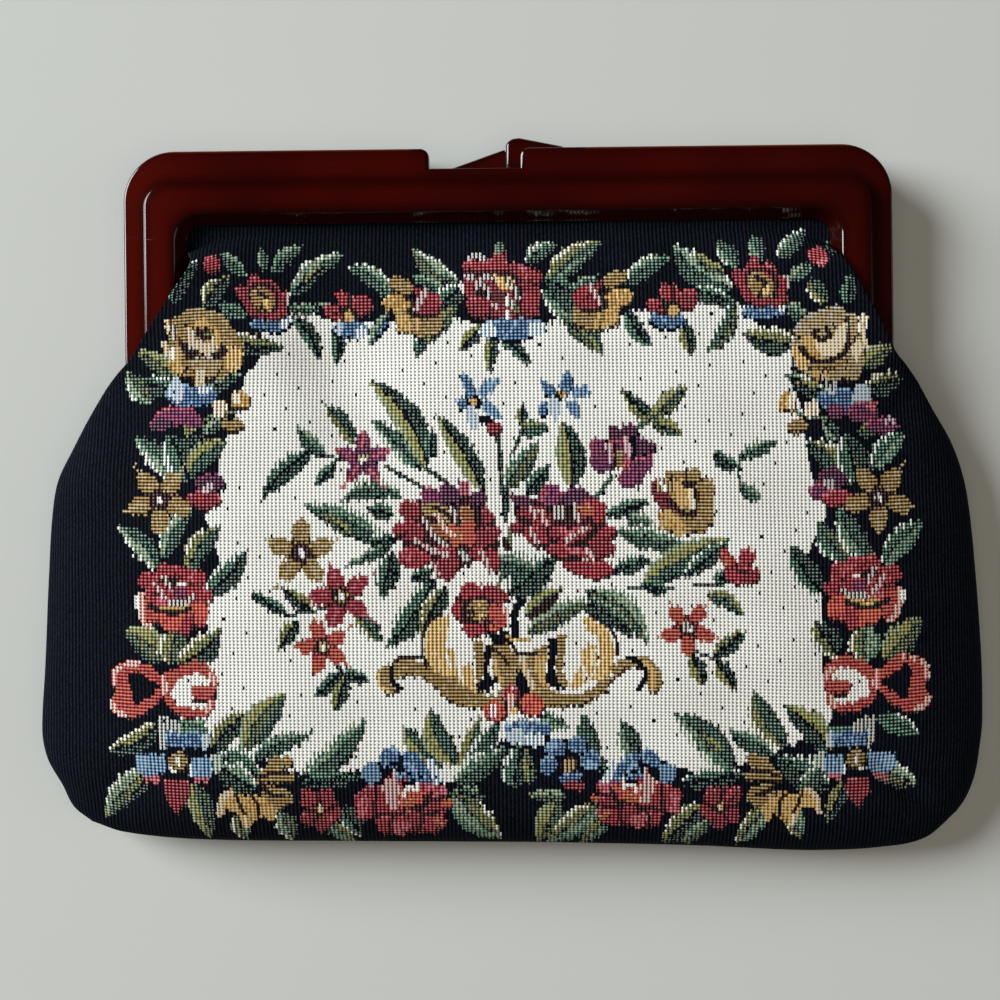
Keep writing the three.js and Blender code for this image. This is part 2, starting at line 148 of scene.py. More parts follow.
def makeStudio(spec):
    camera = bpy.data.objects.new("camera", bpy.data.cameras.new("camera"))
    bpy.context.collection.objects.link(camera)
    camera.location = Vector(spec["eye"]) * mm
    camera.rotation_euler = (0, 0, math.radians(spec["roll"]))
    camera.data.lens = spec["lens"]
    camera.data.sensor_width = spec["sensor"]
    camera.data.clip_start = spec["nearest"] * mm
    bpy.context.scene.camera = camera

    deselectAll()
    bpy.ops.mesh.primitive_plane_add(size=spec["floorSize"] * mm, location=(0, 0, -spec["floorDrop"] * mm))
    floor = bpy.context.object
    floor.name = "floor"
    paint, tree, shader = newMaterial("floor_paint")
    for name, value in spec["floor"].items():
        shader.inputs[name].default_value = value
    floor.data.materials.append(paint)

    for name, place, size, power, colour, mirrored in spec["lights"]:
        panel = bpy.data.lights.new(name, "AREA")
        panel.shape = "DISK"
        panel.size = size * mm
        panel.energy = power
        panel.color = colour
        lamp = bpy.data.objects.new(name, panel)
        bpy.context.collection.objects.link(lamp)
        lamp.visible_glossy = mirrored
        lamp.location = Vector(place) * mm
        lamp.rotation_euler = (-lamp.location).to_track_quat("-Z", "Y").to_euler()

    room = bpy.data.worlds.new("studio")
    bpy.context.scene.world = room
    room.use_nodes = True
    room.node_tree.nodes["Background"].inputs["Color"].default_value = spec["roomColour"]
    bpy.context.scene.view_settings.view_transform = "Standard"


makeStudio(studio)
print("studio ready")

moulding = {  # mm
    "half": 101.5, "rimTop": 91.5, "legEnd": 32.5, "outerCorner": 13.5, "windowCorner": 4.5,
    "topRim": 6.0, "legRim": 3.0, "cove": 3.4, "panel": 7.4, "bevel": 2.8,
    "seamGap": 0.2, "rimDepth": 5.5, "panelDepth": 9.0, "lipDepth": 5.2, "seam": 9.0,
    "grooveLow": 2.2, "grooveHigh": 4.6, "grooveDeep": 4.0,
    "edgeRound": 0.7, "edgeTurns": 3, "fineRound": 0.35,
    "bevelDrop": 0.12, "lipRound": 0.1, "cornerSteps": 16,
    # steps of the section: share across, share up
    "coveSteps": ((0, 0), (0.72, 0.14), (1, 1)), "panelSteps": ((0.3, 0.75), (1, 1)),
    "bevelSteps": (0, 0.12, 0.88, 1), "notchLean": 1.8,
    "smoothAngle": 32,  # degrees
}
frontNotch = {"left": -20.7, "right": 3.4, "deep": 5.3, "round": 2.4, "turns": 6}  # mm
rearNotch = {  # mm, with the ramp that the lug snaps over
    "left": 14.7, "right": 24.4, "deep": 4.1, "round": 1.2, "turns": 6,
    "ramp": 13.85, "rise": 0.7, "ease": 2.0, "rampSteps": (0, 0.25, 0.5, 0.75, 1), "footSteps": (2, 0.35),
}
lug = {  # outline as x and height above the rim, then depths from the seam
    "outline": [
        (-0.4, -5.6), (-0.4, 1.3), (0.2, 2.4), (1.5, 3.0), (3.2, 3.2), (14.5, 0.9), (17, -0.4), (17, -5.6),
    ],
    "middle": 8, "low": -5.6, "front": 2.8, "round": 0.9, "roundSteps": 3,
    "hook": 2.8, "hookRise": 0.45, "hookFront": 1.4, "hookInset": 0.15,
}
hinge = {  # mm
    "y": 36.9, "middle": 93.2, "barrel": 3.6, "length": 6.8, "gap": 0.4, "sides": 40,
    "bore": 1.25, "boreFrom": 18, "boreTo": 1,  # the bore's ends, inside and outside the frame's side
}


def sectionPoints(spec):
    # (inset on a leg, inset on the top bar, window widening or None, depth) from the outer edge to the window
    edge, fine, low = spec["edgeRound"], spec["fineRound"], spec["seamGap"]
    rimTop, panelTop, lip = spec["rimDepth"], spec["panelDepth"], spec["lipDepth"]
    legRim, topRim, cove, bevel = spec["legRim"], spec["topRim"], spec["cove"], spec["bevel"]
    points = []
    for a in quarterTurns(spec["edgeTurns"]):
        inset = edge * (1 - math.sin(a))
        points.append((inset, inset, None, low + edge * (1 - math.cos(a))))
    for a in quarterTurns(spec["edgeTurns"]):
        inset = edge * (1 - math.cos(a))
        points.append((inset, inset, None, rimTop - edge * (1 - math.sin(a))))
    points.append((legRim - fine, topRim - fine, None, rimTop))
    for share, rise in spec["coveSteps"]:
        depth = rimTop + rise * (panelTop - fine - rimTop)
        points.append((legRim + cove * share, topRim + cove * share, None, depth))
    for share, rise in spec["panelSteps"]:
        depth = panelTop - fine * (1 - rise)
        points.append((legRim + cove + fine * share, topRim + cove + fine * share, None, depth))
    inside = [(bevel + fine, panelTop), (bevel, panelTop - spec["bevelDrop"])]
    for share in spec["bevelSteps"]:
        depth = (panelTop - fine) * (1 - share) + (lip + fine) * share
        inside.append(((bevel - fine) * (1 - share) + fine * share, depth))
    inside += [(spec["lipRound"], lip + spec["lipRound"]), (0, lip - fine)]
    deep, high, bottom = spec["grooveDeep"], spec["grooveHigh"], spec["grooveLow"]
    inside += [(0, high), (deep, high), (deep, bottom), (0, bottom), (0, low)]
    return points + [(0, 0, widen, depth) for widen, depth in inside]


def archPath(spec, side, top, widen, cuts):
    # plan of one section point round the inverted U, from the left leg end to the right one
    if widen is None:
        half, high = spec["half"] - side, spec["rimTop"] - top
        radius = spec["outerCorner"] - (side + top) / 2
    else:
        half = spec["half"] - spec["legRim"] - spec["cove"] - spec["panel"] - spec["bevel"] + widen
        high = spec["rimTop"] - spec["topRim"] - spec["cove"] - spec["panel"] - spec["bevel"] + widen
        radius = spec["windowCorner"] + widen
    turns = quarterTurns(spec["cornerSteps"])
    left = [(-half + radius * (1 - math.cos(a)), high - radius * (1 - math.sin(a))) for a in turns]
    right = [(-x, y) for x, y in reversed(left)]
    rim = []
    for x, below, outX, outY in cuts:
        ease = min(top, spec["edgeRound"])
        cut = spec["rimTop"] - below - outY * ease
        if widen is not None:
            cut = high
        elif top > spec["edgeRound"]:
            cut = min(cut, high)
        rim.append((x - outX * ease * spec["notchLean"], cut))
    return [(-half, spec["legEnd"])] + left + rim + right + [(half, spec["legEnd"])]


def notchCuts(notch):
    # rim outline across the clasp, left to right: x, depth below the rim's top, and which way its edge faces
    left, right, deep, hair = notch["left"], notch["right"], notch["deep"], 0.01
    down, up = [], []
    for a in quarterTurns(notch["turns"]):
        out, below = notch["round"] * (1 - math.sin(a)), notch["round"] * (1 - math.cos(a))
        down.append((left - out, below, math.sin(a), math.cos(a)))
        up.insert(0, (right + out, below, -math.sin(a), math.cos(a)))
    if "ramp" not in notch:
        return down + [(left + hair, deep, 1, 1), (right - hair, deep, -1, 1)] + up
    rise, ramp = notch["rise"], notch["ramp"]
    drop, start = deep + rise, left - ramp
    out = notch["ease"] / math.hypot(drop, ramp)
    foot = [(start - step, 0, 0, 1) for step in notch["footSteps"]]
    slope = [(start + ramp * t, drop * t - rise, drop * out, ramp * out) for t in notch["rampSteps"]]
    return foot + slope + [(right - hair, deep, 0, 1)] + up


def makeHalf(name, spec, notch, faces):
    points = sectionPoints(spec)
    points.append(points[0])
    cuts = notchCuts(notch)
    paths = [archPath(spec, side, top, widen, cuts) for side, top, widen, depth in points]
    wide, tall = len(paths[0]), len(points)
    deselectAll()
    bpy.ops.mesh.primitive_grid_add(x_subdivisions=wide - 1, y_subdivisions=tall - 1, size=0.1)
    piece = bpy.context.object
    piece.name = piece.data.name = name
    places = []
    for path, point in zip(paths, points):
        places += [(x * faces * mm, y * mm, (spec["seam"] + faces * point[3]) * mm) for x, y in path]
    piece.data.vertices.foreach_set("co", np.array(places, np.float32).ravel())
    bpy.ops.object.mode_set(mode="EDIT")
    bpy.ops.mesh.select_all(action="SELECT")
    bpy.ops.mesh.remove_doubles(threshold=weld)
    bpy.ops.mesh.select_all(action="SELECT")
    bpy.ops.mesh.fill_holes(sides=0)
    bpy.ops.mesh.select_all(action="SELECT")
    bpy.ops.mesh.normals_make_consistent(inside=False)
    bpy.ops.object.mode_set(mode="OBJECT")
    return piece


def combine(piece, tool, way):
    pickOnly(piece)
    cut = piece.modifiers.new("cut", "BOOLEAN")
    cut.operation, cut.object, cut.solver = way, tool, "EXACT"
    bpy.ops.object.modifier_apply(modifier="cut")
    bpy.data.objects.remove(tool)


def makeRod(span, radius):
    fromX, toX = sorted(span)
    deselectAll()
    bpy.ops.mesh.primitive_cylinder_add(
        vertices=hinge["sides"], radius=radius * mm, depth=(toX - fromX) * mm, rotation=(0, math.pi / 2, 0),
        location=((fromX + toX) / 2 * mm, hinge["y"] * mm, moulding["seam"] * mm))
    bpy.ops.object.transform_apply(location=True, rotation=True, scale=True)
    return bpy.context.object


def addHinge(piece, faces):
    # each half keeps the outer barrel on one leg and the inner one on the other
    middle, near, half = hinge["middle"], hinge["gap"] / 2, moulding["half"]
    far = near + hinge["length"]
    outer, inner = (middle + near, middle + far), (middle - far, middle - near)
    for side in (-1, 1):
        own, other = (outer, inner) if side * faces < 0 else (inner, outer)
        room = (side * (other[0] - near), side * (other[1] + near))
        bore = (side * (half + hinge["boreTo"]), side * (half - hinge["boreFrom"]))
        combine(piece, makeRod(room, hinge["barrel"] + hinge["gap"]), "DIFFERENCE")
        combine(piece, makeRod((side * own[0], side * own[1]), hinge["barrel"]), "UNION")
        combine(piece, makeRod(bore, hinge["bore"]), "DIFFERENCE")


def makeLugBlock(low, back, front, inset):
    outline = []
    for x, above in lug["outline"]:
        outline.append((x + inset if x < lug["middle"] else x - inset, max(above - inset, low)))
    deselectAll()
    bpy.ops.mesh.primitive_circle_add(vertices=len(outline), fill_type="NGON")
    block = bpy.context.object
    for vertex, (x, above) in zip(block.data.vertices, outline):
        vertex.co = (x * mm, (moulding["rimTop"] + above) * mm, (moulding["seam"] + back) * mm)
    bpy.ops.object.mode_set(mode="EDIT")
    bpy.ops.mesh.select_all(action="SELECT")
    bpy.ops.mesh.extrude_region_move(TRANSFORM_OT_translate={"value": (0, 0, (front - back) * mm)})
    bpy.ops.mesh.select_all(action="SELECT")
    bpy.ops.mesh.remove_doubles(threshold=weld)
    bpy.ops.mesh.normals_make_consistent(inside=False)
    bpy.ops.object.mode_set(mode="OBJECT")
    bevel = block.modifiers.new("round", "BEVEL")
    bevel.width, bevel.segments, bevel.limit_method = lug["round"] * mm, lug["roundSteps"], "ANGLE"
    bpy.ops.object.modifier_apply(modifier="round")
    return block


frontHalf = makeHalf("frame_front_half", moulding, frontNotch, 1)
combine(frontHalf, makeLugBlock(lug["low"], moulding["seamGap"], lug["front"], 0), "UNION")
combine(frontHalf, makeLugBlock(lug["hookRise"], -lug["hook"], lug["hookFront"], lug["hookInset"]), "UNION")
backHalf = makeHalf("frame_back_half", moulding, rearNotch, -1)
for half, node, faces in ((frontHalf, "front_frame", 1), (backHalf, "back_frame", -1)):
    addHinge(half, faces)
    pickOnly(half)
    bpy.ops.object.shade_smooth_by_angle(angle=math.radians(moulding["smoothAngle"]))
    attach(half, "root")
    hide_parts(node)
print("frame halves modelled")

handling = {
    "smudgeDetail": 6, "smudge": 0.16, "scratch": 0.22,
    "scratchTurn": (0, 0, 0.5), "scratchStretch": (60, 1400, 400), "scratchDetail": 2,
    "scratchRange": (0.68, 0.78),
}


def makeHandWear(spec):
    # smudges and fine scratches of a handled surface, for more than one material
    group = bpy.data.node_groups.new("handWear", "ShaderNodeTree")
    sockets = (("Smudge Scale", "INPUT"), ("Polish", "INPUT"), ("Roughness", "OUTPUT"), ("Height", "OUTPUT"))
    for name, way in sockets:
        group.interface.new_socket(name, in_out=way, socket_type="NodeSocketFloat")
    given, result = group.nodes.new("NodeGroupInput"), group.nodes.new("NodeGroupOutput")
    place = addNode(group, "TexCoord", {}).outputs["Object"]
    smudge = speckle(group, place, given.outputs["Smudge Scale"], spec["smudgeDetail"])
    feeds = {"Vector": place, "Rotation": spec["scratchTurn"], "Scale": spec["scratchStretch"]}
    stretch = addNode(group, "Mapping", feeds).outputs["Vector"]
    scratch = remap(group, speckle(group, stretch, 1, spec["scratchDetail"]), *spec["scratchRange"])
    dull = calc(group, "MULTIPLY_ADD", smudge, spec["smudge"], given.outputs["Polish"])
    feed(group, result.inputs["Roughness"], calc(group, "MULTIPLY_ADD", scratch, spec["scratch"], dull))
    feed(group, result.inputs["Height"], scratch)
    return group


handWear = makeHandWear(handling)


def useWear(tree, shader, smudgeScale, polish, depth):
    worn = addNode(tree, "Group", {}, node_tree=handWear)
    feed(tree, worn.inputs["Smudge Scale"], smudgeScale)
    feed(tree, worn.inputs["Polish"], polish)
    bump = addNode(tree, "Bump", {"Distance": depth * mm, "Height": worn.outputs["Height"]}, invert=True)
    feed(tree, shader.inputs["Roughness"], worn.outputs["Roughness"])
    feed(tree, shader.inputs["Normal"], bump.outputs["Normal"])


oxblood = {
    "cloudScale": 28, "cloudDetail": 4,
    "cloud": ((0.35, (0.026, 0.0009, 0.0004, 1)), (0.7, (0.042, 0.0014, 0.0006, 1))),
    # painted glow: colour and x range where light through the plastic is painted in
    "glow": (0.066, 0.0026, 0.0008, 1), "glowRange": (-70, -104),  # x in mm
    # painted shade on tilted faces: its colour, then the normal's upright part where it starts and ends, and
    # the most
    "slope": (0.008, 0.0003, 0.0002, 1), "slopeShadeRange": (0.998, 0.988, 0.6),  # normal's upright part, most
    # painted highlight along the thin outer top edge, and where it lies
    "brinkHighlight": (0.15, 0.022, 0.006, 1), "brinkHighlightMost": 0.8,
    "brinkAbove": 0.1, "brinkRange": (0.85, 0.2),  # mm
    "claspX": -2.5, "claspRange": (22, 24),  # mm
    "wear": (22, 0.02, 0.01),  # smudge scale, polish, scratch depth
}


def makeOxblood(spec):
    plastic, tree, shader = newMaterial("oxblood_plastic")
    place = addNode(tree, "TexCoord", {})
    at = addNode(tree, "SeparateXYZ", {"Vector": place.outputs["Object"]}).outputs
    facing = addNode(tree, "SeparateXYZ", {"Vector": place.outputs["Normal"]}).outputs
    cloud = speckle(tree, place.outputs["Object"], spec["cloudScale"], spec["cloudDetail"])
    colour = tintBetween(tree, cloud, spec["cloud"])
    # painted glow: light through the plastic would make it redder towards the window's side, so the colour is
    # made redder there
    low, high = spec["glowRange"]
    colour = blend(tree, remap(tree, at["X"], low * mm, high * mm, way="SMOOTHSTEP"), colour, spec["glow"])
    # painted shade: the tilted faces of the hollow step and the bevel are made darker than the level faces
    slope = remap(tree, calc(tree, "ABSOLUTE", facing["Z"]), *spec["slopeShadeRange"])
    colour = blend(tree, slope, colour, spec["slope"])
    # painted highlight: a pale brown line along the thin outer edge, beside the clasp, where light comes
    # through the plastic
    rimLine = (moulding["rimTop"] + spec["brinkAbove"]) * mm
    fromRim = calc(tree, "ABSOLUTE", calc(tree, "SUBTRACT", at["Y"], rimLine))
    fromClasp = calc(tree, "ABSOLUTE", calc(tree, "SUBTRACT", at["X"], spec["claspX"] * mm))
    low, high = spec["brinkRange"]
    edge = remap(tree, fromRim, low * mm, high * mm, spec["brinkHighlightMost"])
    low, high = spec["claspRange"]
    beside = remap(tree, fromClasp, low * mm, high * mm)
    colour = blend(tree, calc(tree, "MULTIPLY", edge, beside), colour, spec["brinkHighlight"])
    feed(tree, shader.inputs["Base Color"], colour)
    useWear(tree, shader, *spec["wear"])
    return plastic


plastic = makeOxblood(oxblood)
for half in (frontHalf, backHalf):
    half.data.materials.clear()
    half.data.materials.append(plastic)

hingeBrass = {
    "tarnishScale": 600, "tarnishDetail": 2,
    "tarnish": ((0.35, (0.18, 0.13, 0.07, 1)), (0.65, (0.55, 0.43, 0.24, 1))),
    "wear": (300, 0.22, 0.02),  # smudge scale, polish, scratch depth
}


def makeBrass(spec):
    brass, tree, shader = newMaterial("hinge_brass")
    shader.inputs["Metallic"].default_value = 1
    place = addNode(tree, "TexCoord", {}).outputs["Object"]
    tarnish = speckle(tree, place, spec["tarnishScale"], spec["tarnishDetail"])
    feed(tree, shader.inputs["Base Color"], tintBetween(tree, tarnish, spec["tarnish"]))
    useWear(tree, shader, *spec["wear"])
    return brass


brass = makeBrass(hingeBrass)
for node in ("hinge_pin_left", "hinge_pin_right"):
    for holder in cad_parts[node].material_slots:
        holder.material = brass
print("frame finished")

cloth = {  # mm
    "wall": 1.4, "cornerY": -86.0, "seamTop": 28.5, "mouthSide": 69.5, "mouthTop": 74.9,
    "mouthSquareness": 10, "mouthBlend": 6, "sideFullness": 3.6, "bottomFullness": 15,
    "frontSeam": 9.2, "seamGap": 0.4, "seamFollow": 0.92, "backMouth": 4.9,
    "restWide": 0.76, "restLow": 0.13, "restRound": 2.4, "backHalf": 84.4, "backLeg": 31.5, "backLegZ": 2.4,
    "columnPitch": 0.515, "rowPitch": 0.9, "fineRows": 3001, "fineColumns": 1601,
    "innerColumns": 45, "innerStep": 6, "sewnMargin": 0.5, "rippleDepth": 0.006,
}
frontSides = [  # y, left, right, edge height, roundness
    (-86, 112.8, 117.8, 9.2, 0.5), (-82, 117.6, 120.5, 9.2, 0.5), (-76, 120.6, 122.8, 9.2, 0.5),
    (-69, 124.4, 124.1, 9.2, 0.5), (-61, 125.8, 125, 9.2, 0.5), (-45, 124.8, 124.9, 9.2, 0.5),
    (-20, 123.5, 123.4, 9.2, 0.5), (-4, 122.4, 121.9, 9.2, 0.5), (5, 120.7, 120.1, 9.4, 0.5),
    (13, 116.6, 117, 10.2, 0.5), (21, 111.9, 112.1, 12, 0.5), (28.5, 106.8, 107.5, 14.4, 0.55),
    (32.5, 103, 104, 17.4, 0.65), (36, 99.4, 100.8, 19.2, 0.8), (45, 93.6, 96.4, 20, 1),
    (56, 86.3, 90.4, 20, 1), (60.5, 83.2, 87.4, 19.9, 1), (62.5, 83, 85.6, 18.6, 1),
    (64, 83.8, 84.2, 16.6, 1), (65.4, 84.3, 84.3, 13.1, 1), (67, 86.8, 86.8, 13.1, 1),
    (69.5, 87.6, 87.6, 13.1, 1),
]
bottomEdge = [
    (-112.8, -86), (-104, -88.9), (-84, -91), (-36, -92), (12, -92.9), (50, -94.2), (80, -95.8),
    (97, -95.2), (109, -93), (117.8, -86),
]
crown = [
    (-96, 22.5), (-60, 24.4), (-25, 25.4), (10, 24.6), (34, 22.8), (50, 20.4), (60, 17.8), (67, 14.6),
    (70.5, 13.1), (76, 13.1),
]
folds = [  # x, y, turn, half length, half width, depth
    (-72, 54.7, -37, 13, 2.6, 1.7), (77, 58, 51, 11, 3.2, 0.9), (-46, 33, -65, 26, 13, 3.5),
    (-27, 42, -65, 26, 17, 1.8), (-15, 10, 0, 55, 45, 1.2), (101, -76.6, -38, 13, 3, 2.4),
    (84, -80, -12, 16, 5, 1), (-102, -79, 38, 13, 5, 1.1), (-101, 20, -48, 17, 6, 1.2),
    (102, 21, 48, 17, 6, 1.2),
]
ripples = [(31, 20, 0.4), (23, 105, 1.7), (17, 64, 2.9)]  # reach, turn, shift of a handled cloth's unevenness


def seamBelow(edge):
    return cloth["frontSeam"] - cloth["seamGap"] + (edge - cloth["frontSeam"]) * cloth["seamFollow"]


# y, left, right, edge height: along the seam as on the front, then behind the legs and up to the mouth
backSides = [row[:3] + (seamBelow(row[3]),) for row in frontSides if row[0] <= cloth["seamTop"]]
backSides += [(28.9, 106.4, 107.2, seamBelow(14.6))]
for y, height in ((cloth["backLeg"], "backLegZ"), (40, "backLegZ"), (56, "backMouth"), (67, "backMouth")):
    backSides.append((y, cloth["backHalf"], cloth["backHalf"], cloth[height]))
backSides += [(69.5, 87.6, 87.6, cloth["backMouth"])]
backMiddle = [(-96, 0), (48, 0), (56, 0.5), (70.5, 4.9), (76, 4.9)]


def column(rows, index):
    return [(row[0], row[index]) for row in rows]


def foldDepth(x, y):
    depth = np.zeros_like(x)
    for foldX, foldY, turn, length, width, deep in folds:
        c, s = turned(turn)
        lengthwise = (x - foldX) * c + (y - foldY) * s
        across = (y - foldY) * c - (x - foldX) * s
        depth += deep * np.exp(-(lengthwise / length) ** 2 - (across / width) ** 2)
    for reach, turn, shift in ripples:
        c, s = turned(turn)
        depth += cloth["rippleDepth"] * reach * np.sin((x * c + y * s) / reach * 2 * math.pi + shift)
    return depth


def panelPlace(sides, u, v):
    share = (u + 1) / 2
    sideY = cloth["cornerY"] + (cloth["mouthSide"] - cloth["cornerY"]) * v
    left, right = along(column(sides, 1), sideY), along(column(sides, 2), sideY)
    cornerLeft, cornerRight = sides[0][1], sides[0][2]
    bottom = along(bottomEdge, -cornerLeft + (cornerLeft + cornerRight) * share)
    x = -left + (left + right) * share
    rise = (cloth["mouthTop"] - cloth["mouthSide"]) * (1 - np.abs(u) ** cloth["mouthSquareness"])
    y = sideY + (1 - v) * (bottom - cloth["cornerY"]) + v ** cloth["mouthBlend"] * rise
    return x, y, sideY


def frontSurface(u, v):
    x, y, sideY = panelPlace(frontSides, u, v)
    edge, rounding = along(column(frontSides, 3), sideY), along(column(frontSides, 4), sideY)
    sideways = np.clip(1 - np.abs(u) ** cloth["sideFullness"], 0, 1) ** rounding
    full = sideways * np.sqrt(1 - (1 - v) ** cloth["bottomFullness"])
    z = edge + (along(crown, y) - edge) * full - foldDepth(x, y) * np.sqrt(full)
    return np.stack([x, y, z], -1)


def backSurface(u, v):
    x, y, sideY = panelPlace(backSides, u, v)
    edge, low = along(column(backSides, 3), sideY), along(backMiddle, y)
    pastSide = np.clip((np.abs(u) - cloth["restWide"]) / (1 - cloth["restWide"]), 0, 1)
    pastBottom = np.clip(1 - v / cloth["restLow"], 0, 1)
    flat = np.sqrt(1 - pastSide ** cloth["restRound"]) * np.sqrt(1 - pastBottom ** cloth["restRound"])
    return np.stack([x, y, low + (edge - low) * (1 - flat)], -1)


# Each yarn: colour (sRGB, 0-255) and strength of the pale fleck that the warp leaves on it
yarns = {
    "night": ((12, 15, 23), 0), "white": ((245, 243, 238), 0), "brown": ((30, 15, 12), 0.12),
    "deep": ((12, 36, 28), 0.72), "green": ((22, 64, 47), 0.96), "mint": ((46, 92, 68), 1),
    "pale": ((130, 148, 118), 0.9), "olive": ((78, 82, 36), 0.82), "lime": ((132, 128, 58), 0.84),
    "wine": ((46, 4, 12), 0.2), "crimson": ((108, 10, 24), 0.6), "red": ((142, 20, 32), 0.62),
    "coral": ((190, 66, 46), 0.66), "pink": ((186, 86, 98), 0.7), "plum": ((62, 16, 46), 0.52),
    "magenta": ((112, 30, 74), 0.58), "orange": ((176, 82, 34), 0.56), "gold": ((174, 126, 52), 0.66),
    "straw": ((226, 190, 122), 0.7), "blue": ((30, 68, 112), 0.9), "sky": ((118, 155, 188), 0.8),
}
# Yarns that the loom mixes in, and how often
mixedIn = {
    "red": ("crimson", 0.22), "crimson": ("red", 0.16), "coral": ("red", 0.2), "gold": ("straw", 0.16),
    "straw": ("gold", 0.2), "green": ("deep", 0.2), "mint": ("green", 0.24), "pale": ("mint", 0.26),
    "olive": ("green", 0.18), "lime": ("olive", 0.22), "magenta": ("plum", 0.24), "blue": ("sky", 0.12),
    "pink": ("red", 0.3), "deep": ("night", 0.15),
}
yarnNumber = {name: i for i, name in enumerate(yarns)}

# Outline of the white field: left and right edge against height, top and bottom edge across
fieldLeft = [
    (300, 300), (325, 262), (350, 262), (380, 244), (410, 238), (445, 222), (480, 216), (510, 204),
    (545, 214), (575, 222), (600, 206), (640, 208), (690, 206), (720, 198), (745, 226), (765, 280),
    (790, 330),
]
fieldRight = [
    (300, 742), (330, 764), (350, 792), (380, 792), (405, 800), (440, 806), (475, 812), (510, 826),
    (545, 812), (570, 806), (600, 822), (640, 822), (690, 826), (715, 832), (745, 806), (765, 762),
    (790, 700),
]
fieldTop = [
    (240, 345), (262, 325), (300, 312), (345, 322), (390, 322), (440, 318), (470, 322), (510, 334),
    (550, 322), (600, 318), (650, 308), (700, 298), (735, 304), (765, 314), (800, 350),
]
fieldBottom = [
    (200, 730), (250, 756), (300, 772), (350, 772), (400, 756), (450, 782), (500, 742), (530, 740),
    (570, 742), (610, 772), (660, 760), (690, 772), (740, 764), (790, 746), (830, 726),
]

